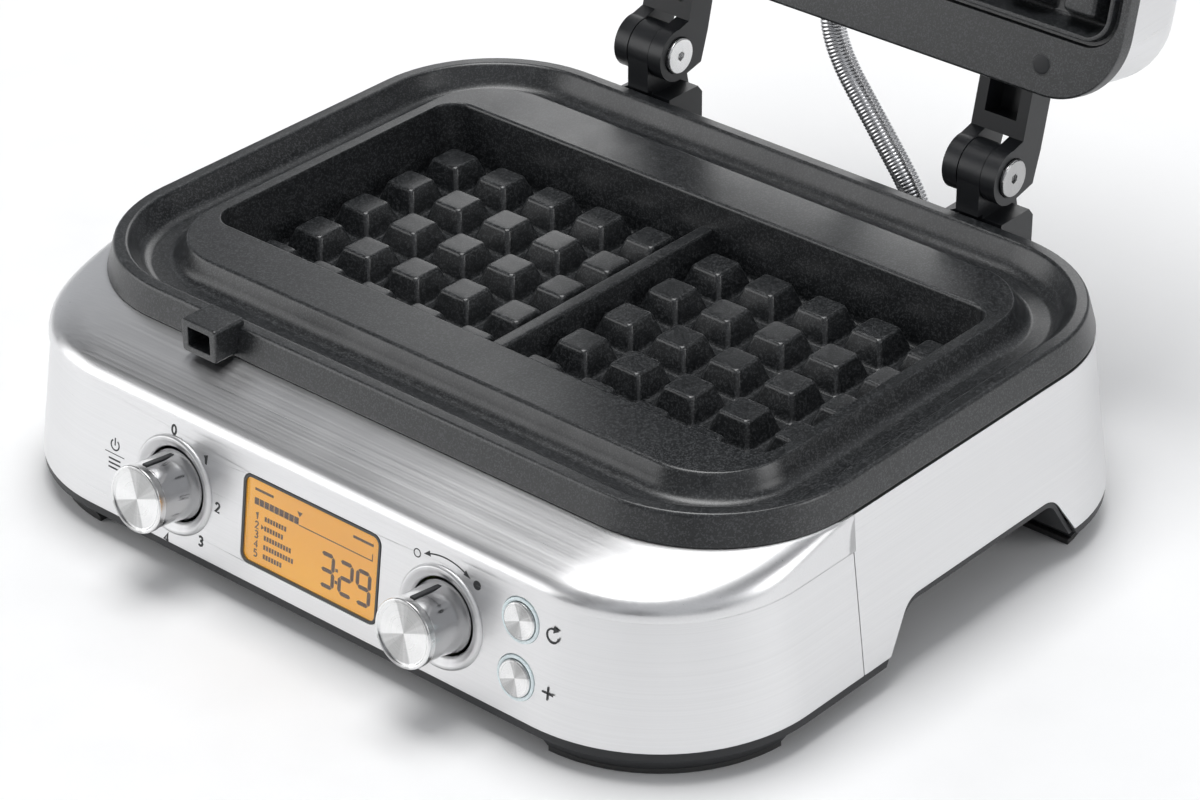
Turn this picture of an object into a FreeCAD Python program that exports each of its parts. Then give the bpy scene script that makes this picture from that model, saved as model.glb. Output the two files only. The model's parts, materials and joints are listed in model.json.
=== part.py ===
import FreeCAD, Part
import math
import os

# Two-slice waffle maker with a hinged lid, shown open. Millimetres, +Z up.
# While the pieces are drawn, y = 0 is the middle of the lower cooking plate and z = 0 is the table.
# The last lines move everything so that the origin is the middle of the overall box, on the table.

V = FreeCAD.Vector

# ---- cooking plates ----
plate_top_z = 78.0
rim_reach_x = 24.2
rim_reach_y = 25.3
rim_corner_grow = 25.0
rim_flare = 2.5
rim_height = 10.0
rim_lip = 0.5
rim_lip_width = 4.8
moat_depth = 8.0
moat_slope = 5.0
platform_margin_x = 4.3
platform_margin_y = 22.5
platform_corner_r = 27.0
cavity_wall = 3.5
peg_pitch = 23.0
pegs_per_side = 5
waffle_gap = 30.0
peg_base = 18.8
peg_top = 12.0
peg_height = 9.0
cavity_depth = 22.6
cavity_margin = 2.1
cavity_draft = 3.0
cavity_corner_r = 9.0
divider_height = 12.5
divider_base = 10.0
divider_top = 5.0
plate_floor = 4.0
rim_skirt = 3.5
rim_skirt_inset = 6.6
pocket_roof = 4.5
boss_r = 4.5
boss_inset_x = 13.8
boss_inset_y = 9.5
boss_drop = 24.0

# ---- latch socket on the front rim ----
lug_x = -66.0
lug_width = 16.0
lug_height = 12.0
lug_reach = 9.4
socket_width = 10.0
socket_height = 7.0
socket_depth = 8.5
lug_drop = 3.0

# ---- steel body ----
sheet = 1.2
body_margin_x = 3.4
body_back_margin = 0.8
front_overhang = 28.5
body_corner_grow = 2.0
seam_drop = 23.3
body_bottom_z = 11.0
body_draft_deg = 7.6
seam_gap = 0.4
side_seam_setback = 53.8
gasket_height = 1.0
gasket_width = 3.5
return_flange = 5.0
skirt_depth = 3.0
skirt_clear = 0.1

# ---- base pan, feet and hand-holds ----
pan_clear = 0.25
pan_floor_z = 8.0
pan_floor = 2.5
pan_wall = 2.2
pan_wall_height = 6.0
pan_lip_inset = 0.7
foot_inset = 6.5
foot_length_x = 46.0
foot_length_y = 42.0
foot_pad_height = 2.0
arch_front_gap = 7.5
arch_back_gap = 47.1
arch_top_z = 24.6
arch_slope = 11.5
arch_depth = 30.0
arch_corner_r = 7.0
grip_wall = 2.0
grip_rib = 1.0
grip_rib_pitch = 9.0
post_r = 6.0
plate_screw_r = 2.0
screw_clear = 0.2

# ---- control panel on the sloped front ----
panel_drop = 22.2
dial_x = 59.4
display_x = 2.2
display_s = 1.0
display_width = 59.0
display_height = 30.0
display_corner_r = 2.6
bezel_rim = 0.9
dial_base_r = 12.3
dial_taper = 1.1
dial_cap_lip = 0.4
ring_gap = 0.6
ring_collar = 1.5
ring_width = 4.6
ring_height = 1.5
dial_length = 17.6
dial_cap_height = 3.0
pointer_width = 2.0
shaft_r = 3.0
shaft_clear = 0.05
button_x = 91.3
button_s = (12.0, -7.8)
button_r = 6.2
button_ring_width = 1.3
button_clear = 0.15
board_depth = 12.0
board_thick = 1.6

# ---- lid hinge ----
hinge_x = 74.0
hinge_back = 6.4
hinge_rise = 14.6
lid_open_deg = 103.0
lid_rest_gap = 0.4
eye_r = 10.0
ear_width = 9.4
fork_clear = 0.3
fork_ear = 6.0
bolt_r = 4.0
bolt_clear = 0.05
bolt_head_r = 6.8
bolt_head_height = 2.4
arm_offset = 3.2
arm_depth = 12.0
arm_window = 13.2
arm_screw_r = 1.5

# ---- rear housing ----
housing_half_x = 99.5
housing_depth = 22.4
housing_drop = 10.5
housing_bottom_z = 14.0
housing_wall = 2.5
housing_clear = 0.3
chamber_gap = 0.6
bracket_foot_lap = 0.4
bracket_screw_back = 10.4
gland_x = -60.0
gland_z = 34.0
gland_r = 8.0
cord_hole_r = 3.9

# ---- wiring conduit ----
conduit_r = 4.5
conduit_clear = 0.2
conduit_base_x = 47.0
conduit_lid_x = -1.0
conduit_back = 4.4
conduit_rise = 16.5
conduit_tail = 34.5
conduit_over = (7.5, 24.9)
conduit_end = (12.9, 48.3)
arc_share = 0.45

# ---- lid ----
flange_thick = 6.0
upper_recess = 9.0
upper_floor = 4.0
lip_height = 1.8
lip_width = 1.5
lip_clear = 0.7
groove_width = 2.2
groove_depth = 1.5
cover_inset = 1.8
cover_height = 38.0
cover_edge = 14.0
frame_thick = 4.0
arm_block_depth = 15.0
handle_x = 66.0
handle_reach = 19.7
handle_rise = 26.0
handle_r = 8.5
handle_half_length = 86.0
bracket_width = 16.0
bracket_strap = 3.0
latch_reach = 16.7
latch_rise = 8.5
latch_width = 7.6
latch_side_clear = 0.4
latch_pin_r = 2.0
latch_free_deg = 25.0
plug_r = 3.3
plug_x = 97.0
plug_y = 72.5

# ---- heating ----
heater_r = 3.5
heater_gap = 0.2
heater_half_x = 92.0
heater_half_y = 38.0
heater_bend_r = 24.0
reflector_thick = 0.8
reflector_margin = 1.5

# ---- worked out from the sizes above ----
tan_draft = math.tan(math.radians(body_draft_deg))
floor_z = plate_top_z - cavity_depth
plate_under_z = floor_z - plate_floor
grid_half_x = waffle_gap / 2 + (pegs_per_side - 1) * peg_pitch + peg_base / 2
grid_half_y = (pegs_per_side - 1) * peg_pitch / 2 + peg_base / 2
cavity_half_x = grid_half_x + cavity_margin + cavity_draft
cavity_half_y = grid_half_y + cavity_margin + cavity_draft
platform_half_x = cavity_half_x + platform_margin_x
platform_half_y = cavity_half_y + platform_margin_y
rim_half_x = platform_half_x + rim_reach_x
rim_half_y = platform_half_y + rim_reach_y
rim_corner_r = platform_corner_r + rim_corner_grow
rim_bottom_z = plate_top_z - rim_height
rim_bottom_half_x = rim_half_x + rim_flare
rim_bottom_half_y = rim_half_y + rim_flare
rim_bottom_r = rim_corner_r + rim_flare * 0.6
lug_z = plate_top_z - lug_drop
body_top_z = rim_bottom_z - gasket_height
body_half_x = rim_half_x + body_margin_x
body_back_y = rim_bottom_half_y + body_back_margin
body_corner_r = rim_corner_r + body_corner_grow
front_reach = rim_half_y + front_overhang
seam_z = plate_top_z - seam_drop
side_seam_y = side_seam_setback - rim_half_y
arch_front_y = side_seam_y + arch_front_gap
arch_back_y = body_back_y - arch_back_gap
panel_z = seam_z - panel_drop
panel_y = -(front_reach + (seam_z - panel_z) * tan_draft)
dial_grip_r = dial_base_r - dial_taper
dial_cap_r = dial_grip_r + dial_cap_lip
ring_inner_r = dial_base_r + ring_gap
ring_collar_r = ring_inner_r + ring_collar
ring_r = ring_inner_r + ring_width
button_ring_r = button_r + button_ring_width
hinge_y = body_back_y + hinge_back
hinge_z = plate_top_z + hinge_rise
arm_half = ear_width / 2 + fork_clear + fork_ear
housing_back_y = body_back_y + housing_depth
housing_top_z = rim_bottom_z - housing_drop
chamber_front_y = hinge_y + conduit_back - conduit_r - chamber_gap
bracket_foot_y = body_back_y - bracket_foot_lap
bracket_screw_y = body_back_y + bracket_screw_back
conduit_points = [
    V(conduit_base_x, hinge_y + conduit_back, housing_top_z + conduit_rise - conduit_tail),
    V(conduit_base_x, hinge_y + conduit_back, housing_top_z + conduit_rise),
    V(conduit_lid_x, hinge_y + conduit_over[0], hinge_z + conduit_over[1]),
    V(conduit_lid_x, hinge_y + conduit_end[0], hinge_z + conduit_end[1]),
]
flange_z = plate_top_z + lid_rest_gap
flange_top_z = flange_z + flange_thick
upper_floor_z = flange_z + upper_recess
upper_back_z = upper_floor_z + upper_floor
handle_y = -(rim_half_y + handle_reach)
handle_z = plate_top_z + handle_rise
latch_pivot_y = -(rim_half_y + latch_reach)
latch_pivot_z = plate_top_z + latch_rise


# ---- shape helpers ----
def outline(half_x, y_front, y_back, r_front, z, r_back=None):
    """Closed rectangle with round corners at height z."""
    if r_back is None:
        r_back = r_front
    corners = [
        (half_x - r_front, y_front + r_front, r_front, -90),
        (half_x - r_back, y_back - r_back, r_back, 0),
        (-half_x + r_back, y_back - r_back, r_back, 90),
        (-half_x + r_front, y_front + r_front, r_front, 180),
    ]
    arcs = []
    for cx, cy, r, start in corners:
        ends = [math.radians(start + turn) for turn in (0, 45, 90)]
        arcs.append([V(cx + r * math.cos(a), cy + r * math.sin(a), z) for a in ends])
    edges = []
    for i, (a, b, c) in enumerate(arcs):
        edges.append(Part.Arc(a, b, c).toShape())
        after = arcs[(i + 1) % 4][0]
        if c.distanceToPoint(after) > 1e-6:
            edges.append(Part.makeLine(c, after))
    return Part.Wire(edges)


def centred(half_x, half_y, r, z):
    return outline(half_x, -half_y, half_y, r, z)


def loft(wires):
    return Part.makeLoft(wires, True, True)


def slab(half_x, half_y, r, z0, z1):
    return loft([centred(half_x, half_y, r, z0), centred(half_x, half_y, r, z1)])


def box(x0, x1, y0, y1, z0, z1):
    return Part.makeBox(x1 - x0, y1 - y0, z1 - z0, V(x0, y0, z0))


def rod(x, y, z, r, length, direction=V(0, 0, 1)):
    return Part.makeCylinder(r, length, V(x, y, z), direction)


def join(shapes):
    result = shapes[0].multiFuse(shapes[1:]) if len(shapes) > 1 else shapes[0]
    return result.removeSplitter()


def revolve(profile):
    """Turns a profile of (radius, height) points about the Z axis."""
    points = [V(r, 0, z) for r, z in profile]
    face = Part.Face(Part.makePolygon(points + [points[0]]))
    return face.revolve(V(0, 0, 0), V(0, 0, 1), 360)


def side_profile(points, x0, x1):
    """A (y, z) polygon run along X from x0 to x1."""
    corners = [V(x0, y, z) for y, z in points]
    face = Part.Face(Part.makePolygon(corners + [corners[0]]))
    return face.extrude(V(x1 - x0, 0, 0))


def frustum(x, y, z0, z1, half_x0, half_y0, half_x1, half_y1):
    def ring(hx, hy, z):
        points = [V(x - hx, y - hy, z), V(x + hx, y - hy, z), V(x + hx, y + hy, z), V(x - hx, y + hy, z)]
        return Part.makePolygon(points + [points[0]])
    return loft([ring(half_x0, half_y0, z0), ring(half_x1, half_y1, z1)])


def moved(shape, x, y, z):
    copy = shape.copy()
    copy.translate(V(x, y, z))
    return copy


def mirrored_x(shape):
    return shape.mirror(V(0, 0, 0), V(1, 0, 0))


def on_panel(shape, x, s):
    """Puts a shape on the sloped front: its Y runs up the slope and its Z points out of the panel."""
    base = FreeCAD.Placement(V(x, panel_y, panel_z), FreeCAD.Rotation(V(1, 0, 0), 90 - body_draft_deg))
    step = FreeCAD.Placement(V(0, s, 0), FreeCAD.Rotation())
    copy = shape.copy()
    copy.Placement = base.multiply(step)
    return copy


def bar(width, height, z0, z1, r):
    """A rectangular block with round corners about the Z axis."""
    ends = [outline(width / 2, -height / 2, height / 2, r, z) for z in (z0, z1)]
    return loft(ends)


# ---- steel body outline ----
def body_wire(z, inset=0.0, front=None):
    """Outline of the body at height z, moved in by inset; front overrides how far it reaches forward."""
    if z <= seam_z:
        grow = (seam_z - z) * tan_draft
        half_x = body_half_x + grow
        back = body_back_y + grow
        r = body_corner_r + grow
        reach = front_reach + grow
    else:
        share = (z - seam_z) / (body_top_z - seam_z)
        half_x = body_half_x + share * (rim_bottom_half_x - body_half_x)
        back = body_back_y + share * (rim_bottom_half_y - body_back_y)
        r = body_corner_r + share * (rim_bottom_r - body_corner_r)
        reach = front_reach
    if front is not None:
        reach = front
    return outline(half_x - inset, -reach + inset, back - inset, r - inset, z)


def body_block(z0, z1, inset=0.0):
    levels = [z0, z1] if z1 <= seam_z or z0 >= seam_z else [z0, seam_z, z1]
    return loft([body_wire(z, inset) for z in levels])


# share of the deck's height against share of its forward reach, from the seam up to the rim
deck_steps = [(0.0, 1.0), (0.22, 0.975), (0.4, 0.9), (0.55, 0.77), (0.7, 0.58), (0.85, 0.32), (1.0, 0.0)]


def deck_block(inset):
    wires = []
    for up, out in deck_steps:
        z = seam_z + up * (body_top_z - seam_z)
        reach = rim_bottom_half_y + out * (front_reach - rim_bottom_half_y)
        level = body_wire(z, inset, reach)
        level.translate(V(0, 0, -inset * up))
        wires.append(level)
    return loft(wires)


# ---- lower cooking plate ----
def peg_grid(z_root, z_tip):
    pegs = []
    for column in range(pegs_per_side):
        for row in range(pegs_per_side):
            x = waffle_gap / 2 + column * peg_pitch
            y = (row - (pegs_per_side - 1) / 2) * peg_pitch
            for side in (-1, 1):
                half = (peg_base / 2, peg_base / 2, peg_top / 2, peg_top / 2)
                pegs.append(frustum(side * x, y, z_root, z_tip, *half))
    return pegs


def lug_block():
    front = -(rim_half_y + rim_flare * 0.7)
    return box(lug_x - lug_width / 2, lug_x + lug_width / 2, front - lug_reach, front + 3,
               lug_z - lug_height / 2, lug_z + lug_height / 2)


def lug_socket():
    front = -(rim_half_y + rim_flare * 0.7) - lug_reach
    return box(lug_x - socket_width / 2, lug_x + socket_width / 2, front - 1, front + socket_depth,
               lug_z - socket_height / 2, lug_z + socket_height / 2)


def lower_plate():
    rim_top_z = plate_top_z + rim_lip
    rim = loft([centred(rim_bottom_half_x, rim_bottom_half_y, rim_bottom_r, rim_bottom_z),
                centred(rim_half_x, rim_half_y, rim_corner_r, rim_top_z)])
    skirt = slab(rim_bottom_half_x - rim_skirt_inset, rim_bottom_half_y - rim_skirt_inset,
                 rim_bottom_r - rim_skirt_inset, rim_bottom_z - rim_skirt, rim_bottom_z + 1)
    well = slab(cavity_half_x + cavity_wall, cavity_half_y + cavity_wall,
                cavity_corner_r + cavity_wall, plate_under_z, plate_top_z - 1)
    body = join([rim, skirt, well])
    moat_floor_z = plate_top_z - moat_depth
    outer_x = rim_half_x - rim_lip_width
    outer_y = rim_half_y - rim_lip_width
    outer_r = rim_corner_r - rim_lip_width
    moat_out = loft([centred(outer_x - moat_slope, outer_y - moat_slope, outer_r - moat_slope, moat_floor_z),
                     centred(outer_x, outer_y, outer_r, rim_top_z + 0.1)])
    foot = moat_slope * 0.8
    moat_in = loft([centred(platform_half_x + foot, platform_half_y + foot, platform_corner_r + foot, moat_floor_z),
                    centred(platform_half_x, platform_half_y, platform_corner_r, plate_top_z)])
    moat = moat_out.cut(moat_in)
    cavity = loft([centred(cavity_half_x - cavity_draft, cavity_half_y - cavity_draft,
                           cavity_corner_r - cavity_draft, floor_z),
                   centred(cavity_half_x, cavity_half_y, cavity_corner_r, plate_top_z + 0.1)])
    body = body.cut(moat).cut(cavity)
    pocket_y0 = cavity_half_y + cavity_wall + 2
    pocket_y1 = platform_half_y - 2
    pocket_half_x = cavity_half_x
    pocket_top = plate_top_z - pocket_roof
    pocket = box(-pocket_half_x, pocket_half_x, pocket_y0, pocket_y1, rim_bottom_z - rim_skirt - 1, pocket_top)
    body = body.cut(pocket).cut(moved(pocket, 0, -pocket_y0 - pocket_y1, 0))
    pegs = peg_grid(floor_z - 0.5, floor_z + peg_height)
    divider = frustum(0, 0, floor_z - 0.5, floor_z + divider_height, divider_base / 2,
                      cavity_half_y - 0.5, divider_top / 2, cavity_half_y - 0.5)
    bosses = [rod(x, y, pocket_top + 0.5 - boss_drop, boss_r, boss_drop) for x, y in boss_places()]
    body = join([body, divider, lug_block()] + pegs + bosses)
    for x, y in boss_places():
        body = body.cut(rod(x, y, pocket_top - boss_drop, plate_screw_r - 0.2, boss_drop - 6))
    return body.cut(lug_socket())


def boss_places():
    x = platform_half_x - boss_inset_x
    y = platform_half_y - boss_inset_y
    return [(sx * x, sy * y) for sx in (-1, 1) for sy in (-1, 1)]


def boss_foot_z():
    return plate_top_z - pocket_roof + 0.5 - boss_drop


def plate_screws():
    screws = []
    for x, y in boss_places():
        head = rod(x, y, pan_floor_z + 0.4, 3.8, 2.4)
        shank = rod(x, y, pan_floor_z + 1, plate_screw_r - 0.2, boss_foot_z() + 10 - pan_floor_z)
        screws.append(join([head, shank]))
    return Part.makeCompound(screws)


def plate_gasket():
    half_x = rim_bottom_half_x - 1.5
    half_y = rim_bottom_half_y - 1.5
    r = rim_bottom_r - 1.5
    outer = slab(half_x, half_y, r, body_top_z, rim_bottom_z)
    w = gasket_width
    return outer.cut(slab(half_x - w, half_y - w, r - w, body_top_z - 1, rim_bottom_z + 1))


# ---- steel skins ----
def behind(y):
    return box(-300, 300, y, 400, -50, 200)


def front_fascia():
    shell = body_block(body_bottom_z, seam_z - seam_gap / 2).cut(body_block(body_bottom_z - 1, seam_z + 2, sheet))
    shell = shell.cut(behind(side_seam_y - seam_gap / 2))
    window = bar(display_width + 2 * bezel_rim + 0.2, display_height + 2 * bezel_rim + 0.2, -5, 5,
                 display_corner_r + bezel_rim)
    shell = shell.cut(on_panel(window, display_x, display_s))
    for side in (-1, 1):
        shell = shell.cut(on_panel(rod(0, 0, -5, ring_collar_r + 0.1, 10), side * dial_x, 0))
    for s in button_s:
        shell = shell.cut(on_panel(rod(0, 0, -5, button_ring_r + 0.1, 10), button_x, s))
    return shell


def return_ring():
    half_x = rim_bottom_half_x
    half_y = rim_bottom_half_y
    outer = slab(half_x - 0.3, half_y - 0.3, rim_bottom_r - 0.3, body_top_z - sheet, body_top_z)
    w = return_flange
    return outer.cut(slab(half_x - w, half_y - w, rim_bottom_r - w, body_top_z - 3, body_top_z + 1))


def deck_cover():
    w = return_flange
    mouth = slab(rim_bottom_half_x - w, rim_bottom_half_y - w, rim_bottom_r - w, seam_z, body_top_z + 1)
    bottom_z = seam_z + seam_gap / 2
    shell = deck_block(0).cut(deck_block(sheet)).cut(mouth)
    shell = shell.cut(body_block(seam_z - 1, bottom_z))
    inner_step = sheet + skirt_clear
    skirt = body_block(seam_z - skirt_depth, bottom_z + 1.5, inner_step)
    step = body_block(bottom_z, bottom_z + 1.5, sheet / 2)
    skirt = join([skirt, step]).cut(body_block(seam_z - skirt_depth - 1, seam_z + 6, inner_step + sheet))
    room = button_ring_r + 3
    skirt = skirt.cut(box(button_x - room, button_x + room, -200, 0, 0, seam_z + 0.1))
    cover = join([shell, skirt, return_ring()])
    return cover.cut(behind(side_seam_y - seam_gap / 2))


def arch_prism(x0, x1, grow=0.0):
    """The hand-hold's outline run along X, with its two upper corners rounded."""
    top = arch_top_z + grow
    low = -1.0
    run = arch_slope * (top - low) / (arch_top_z - pan_floor_z)
    points = [(arch_front_y - grow, low), (arch_front_y - grow + run, top),
              (arch_back_y + grow - run, top), (arch_back_y + grow, low)]
    prism = side_profile(points, x0, x1)
    edges = [e for e in prism.Edges if abs(e.Vertexes[0].Z - top) < 1e-6 and abs(e.Vertexes[1].Z - top) < 1e-6
             and abs(e.Vertexes[0].Y - e.Vertexes[1].Y) < 1e-6]
    return prism.makeFillet(arch_corner_r + grow, edges)


def arch_cut(inner_x, grow):
    cut = arch_prism(inner_x, body_half_x + 40, grow)
    return cut, mirrored_x(cut)


def rear_wrap():
    shell = body_block(body_bottom_z, body_top_z).cut(body_block(body_bottom_z - 1, body_top_z + 1, sheet))
    shell = join([shell, return_ring()])
    front = box(-300, 300, -400, side_seam_y + seam_gap / 2, -50, 200)
    shell = shell.cut(front)
    for cut in arch_cut(body_half_x - 20, grip_wall + 0.2):
        shell = shell.cut(cut)
    return shell.cut(wire_pass())


def wire_pass():
    return rod(30, body_back_y - 10, 44, 6, 17, V(0, 1, 0))


def base_pan():
    lip = body_block(pan_floor_z, body_bottom_z - 0.2, pan_lip_inset)
    inner = sheet + pan_clear
    wall_top = pan_floor_z + pan_wall_height
    wall = body_block(pan_floor_z, wall_top, inner)
    pan = join([lip, wall])
    hollow = body_block(pan_floor_z + pan_floor, wall_top + 1, inner + pan_wall)
    pan = pan.cut(hollow)
    posts = []
    for x, y in boss_places():
        posts.append(rod(x, y, pan_floor_z, post_r, boss_foot_z() - pan_floor_z))
    for x, y in board_posts():
        posts.append(rod(x, y, pan_floor_z, 3.0, power_board_z() - pan_floor_z))
    pan = join([pan] + posts + foot_blocks())
    for x, y in boss_places():
        pan = pan.cut(rod(x, y, pan_floor_z - 1, plate_screw_r, 80))
        pan = pan.cut(rod(x, y, pan_floor_z - 9, 4.2, 12.0))
    for cut in arch_cut(body_half_x - arch_depth, grip_wall + 0.1):
        pan = pan.cut(cut)
    return pan


def foot_blocks():
    """Round corner feet that stand a little inside the body's bottom edge."""
    tall = loft([body_wire(pan_floor_z + 0.5, 1.5), body_wire(foot_pad_height, foot_inset)])
    reach_x = body_half_x - foot_inset - foot_length_x
    blocks = []
    back = body_back_y - foot_inset - foot_length_y
    front = -front_reach + foot_inset + foot_length_y
    for x0, x1 in ((reach_x, 200), (-200, -reach_x)):
        blocks.append(tall.common(box(x0, x1, back, 300, 0, 20)))
        blocks.append(tall.common(box(x0, x1, -300, front, 0, 20)))
    inset = foot_length_x * 0.55
    hollow = loft([body_wire(pan_floor_z + 0.5, inset), body_wire(foot_pad_height - 1, inset)])
    return [block.cut(hollow) for block in blocks]


def foot_pads():
    pads = []
    for block in foot_blocks():
        low = block.BoundBox.ZMin
        face = [f for f in block.Faces if abs(f.BoundBox.ZMax - low) < 1e-6][0]
        pads.append(face.extrude(V(0, 0, -foot_pad_height)))
    return Part.makeCompound(pads)


def side_grips():
    """Ribbed black liners of the two hand-holds."""
    inner_x = body_half_x - arch_depth
    outer_x = body_half_x + (seam_z - body_bottom_z) * tan_draft * 0.6
    shell = arch_prism(inner_x + 0.2, outer_x, grip_wall)
    shell = shell.cut(arch_prism(inner_x + 0.2 + grip_wall, outer_x + 1))
    shell = shell.cut(box(0, 300, -200, 200, -5, pan_floor_z))
    ribs = []
    y = arch_front_y + arch_slope + arch_corner_r + 4
    while y < arch_back_y - arch_slope - arch_corner_r - 3:
        ribs.append(box(inner_x + grip_wall, outer_x - 3, y, y + 2, arch_top_z - grip_rib, arch_top_z + 0.5))
        y += grip_rib_pitch
    grip = join([shell] + ribs)
    return Part.makeCompound([grip, mirrored_x(grip)])


# ---- control panel ----
def dial_ring(side):
    profile = [(ring_inner_r, -4), (ring_collar_r, -4), (ring_collar_r, 0), (ring_r, 0), (ring_r, 0.4),
               (ring_r - 0.9, ring_height), (ring_r - 1.8, ring_height), (ring_inner_r + 0.7, 0.2),
               (ring_inner_r, -0.7)]
    return on_panel(revolve(profile), side * dial_x, 0)


def pointer_block(inner, outer):
    return box(-pointer_width / 2, pointer_width / 2, inner, outer, 1.4, dial_length - dial_cap_height - 0.3)


def dial_body(side):
    top = dial_length - dial_cap_height
    bore = shaft_r + shaft_clear
    profile = [(bore, -3.4), (dial_base_r, -3.4), (dial_base_r, -0.4), (dial_base_r - 0.6, 1.2),
               (dial_grip_r, 6), (dial_grip_r, top), (0, top), (0, 9), (bore, 9)]
    body = revolve(profile).cut(pointer_block(dial_grip_r - 0.8, dial_base_r + 2))
    return on_panel(body, side * dial_x, 0)


def dial_cap(side):
    top = dial_length - dial_cap_height
    profile = [(0, top), (dial_cap_r, top), (dial_cap_r, dial_length - 0.5), (dial_cap_r - 0.4, dial_length),
               (dial_cap_r - 1.1, dial_length), (dial_cap_r - 1.8, dial_length - 0.5), (0, dial_length - 0.8)]
    return on_panel(revolve(profile), side * dial_x, 0)


def dial_pointer(side):
    return on_panel(pointer_block(dial_grip_r - 0.8, dial_grip_r + 0.5), side * dial_x, 0)


def encoder(side):
    body = box(-6.5, 6.5, -6.5, 6.5, -board_depth, -5.2)
    bush = rod(0, 0, -5.3, 3.6, 1.5)
    shaft = rod(0, 0, -5, shaft_r, 13.5)
    return on_panel(join([body, bush, shaft]), side * dial_x, 0)


def button_rings():
    profile = [(button_r + button_clear, -2.6), (button_ring_r + 0.8, -2.6), (button_ring_r + 0.8, -sheet),
               (button_ring_r, -sheet), (button_ring_r, 0.3), (button_ring_r - 0.4, 0.5),
               (button_r + button_clear, 0.4)]
    ring = revolve(profile)
    return Part.makeCompound([on_panel(ring, button_x, s) for s in button_s])


def button(s):
    profile = [(0, -7.4), (2, -7.4), (2, -4.6), (button_r + 0.9, -4.6), (button_r + 0.9, -3.8), (button_r, -3.8),
               (button_r, 0.8), (button_r - 0.4, 1.1), (button_r - 0.9, 1.0), (0, 0.6)]
    return on_panel(revolve(profile), button_x, s)


def button_switches():
    body = box(-3, 3, -3, 3, -board_depth, -8.9)
    plunger = rod(0, 0, -9, 1.6, 0.5)
    switch = join([body, plunger])
    return Part.makeCompound([on_panel(switch, button_x, s) for s in button_s])


display_posts = [(sx * (display_width / 2 + 1.0), sy * (display_height / 2 + 1.0))
                 for sx in (-1, 1) for sy in (-1, 1)]


def display_bezel():
    depth = 4.5
    rim = bar(display_width + 2 * bezel_rim, display_height + 2 * bezel_rim, -depth, 0.1,
              display_corner_r + bezel_rim)
    plate = bar(display_width + 8, display_height + 4, -depth, -sheet - 0.05, 3)
    posts = [rod(x, y, -board_depth, 2.2, board_depth - depth + 0.5) for x, y in display_posts]
    frame = join([rim, plate] + posts)
    frame = frame.cut(bar(display_width, display_height, -board_depth - 1, 1, display_corner_r))
    for x, y in display_posts:
        frame = frame.cut(rod(x, y, -board_depth - 1, 1.2, 6))
    return on_panel(frame, display_x, display_s)


def display_lens():
    lens = bar(display_width - 0.1, display_height - 0.1, -2.4, -1.0, display_corner_r - 0.05)
    return on_panel(lens, display_x, display_s)


def display_panel():
    panel = bar(display_width - 4, display_height - 4, -board_depth, -2.5, 1)
    return on_panel(panel, display_x, display_s)


def control_board():
    board = box(-dial_x - 12, button_x + 12, -14, 17, -board_depth - board_thick, -board_depth)
    for x, y in display_posts:
        board = board.cut(rod(display_x + x, y + display_s, -20, 1.3, 20))
    return on_panel(board, 0, 0)


def board_screws():
    screws = []
    for x, y in display_posts:
        back = -board_depth - board_thick
        screws.append(join([rod(x, y, back - 1.6, 2.3, 1.6), rod(x, y, back - 0.1, 1.2, 6.5)]))
    return on_panel(Part.makeCompound(screws), display_x, display_s)


# ---- heating and power ----
def heater_loop(centre_z, half_x, half_y):
    """A round-cornered loop of tube, open at the back where its two ends turn along Y."""
    r = heater_bend_r
    lead = 20.0
    gap = 16.0
    start = V(gap / 2, half_y + lead, centre_z)
    path = [
        Part.makeLine(start, V(gap / 2, half_y + 8, centre_z)),
        Part.Arc(V(gap / 2, half_y + 8, centre_z),
                 V(gap / 2 + 8 * (1 - math.cos(math.pi / 4)), half_y + 8 - 8 * math.sin(math.pi / 4), centre_z),
                 V(gap / 2 + 8, half_y, centre_z)).toShape(),
        Part.makeLine(V(gap / 2 + 8, half_y, centre_z), V(half_x - r, half_y, centre_z)),
    ]
    k = r * math.sqrt(0.5)
    for cx, cy, a, b, c in (
            (half_x - r, half_y - r, (0, r), (k, k), (r, 0)),
            (half_x - r, -half_y + r, (r, 0), (k, -k), (0, -r))):
        path.append(Part.Arc(V(cx + a[0], cy + a[1], centre_z), V(cx + b[0], cy + b[1], centre_z),
                             V(cx + c[0], cy + c[1], centre_z)).toShape())
        if cy > 0:
            path.append(Part.makeLine(V(half_x, half_y - r, centre_z), V(half_x, -half_y + r, centre_z)))
    path.append(Part.makeLine(V(half_x - r, -half_y, centre_z), V(0, -half_y, centre_z)))
    circle = Part.Wire(Part.makeCircle(heater_r, start, V(0, 1, 0)))
    half = Part.Wire(path).makePipeShell([circle], True, False)
    return join([half, mirrored_x(half)])


def lower_element():
    return heater_loop(plate_under_z - heater_gap - heater_r, heater_half_x, heater_half_y)


def reflector_z():
    return plate_under_z - 2 * heater_gap - 2 * heater_r - reflector_thick


def lower_reflector():
    half_x = cavity_half_x + cavity_wall
    half_y = cavity_half_y + cavity_wall - reflector_margin
    tray = slab(half_x, half_y, 10, reflector_z(), plate_under_z - 1)
    tray = tray.cut(slab(half_x - reflector_thick, half_y - reflector_thick, 9.2,
                         reflector_z() + reflector_thick, 100))
    tray = tray.cut(rod(0, 0, reflector_z() - 1, 4.2, 5))
    return tray.cut(box(-14, 14, half_y - 3, half_y + 3, reflector_z() + 2, 100))


def lower_sensor():
    return join([rod(0, 0, reflector_z() - 6, 4.0, plate_under_z - 0.1 - reflector_z() + 6),
                 rod(0, 0, reflector_z() - 6, 6.5, 5.8)])


def thermal_fuse():
    body = rod(28, 14, reflector_z() - 2.6, 2.5, 18, V(1, 0, 0))
    clip = box(32, 40, 9, 19, reflector_z() - 1.2, reflector_z())
    return join([body, clip])


def power_board_z():
    return pan_floor_z + pan_floor + 6


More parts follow.
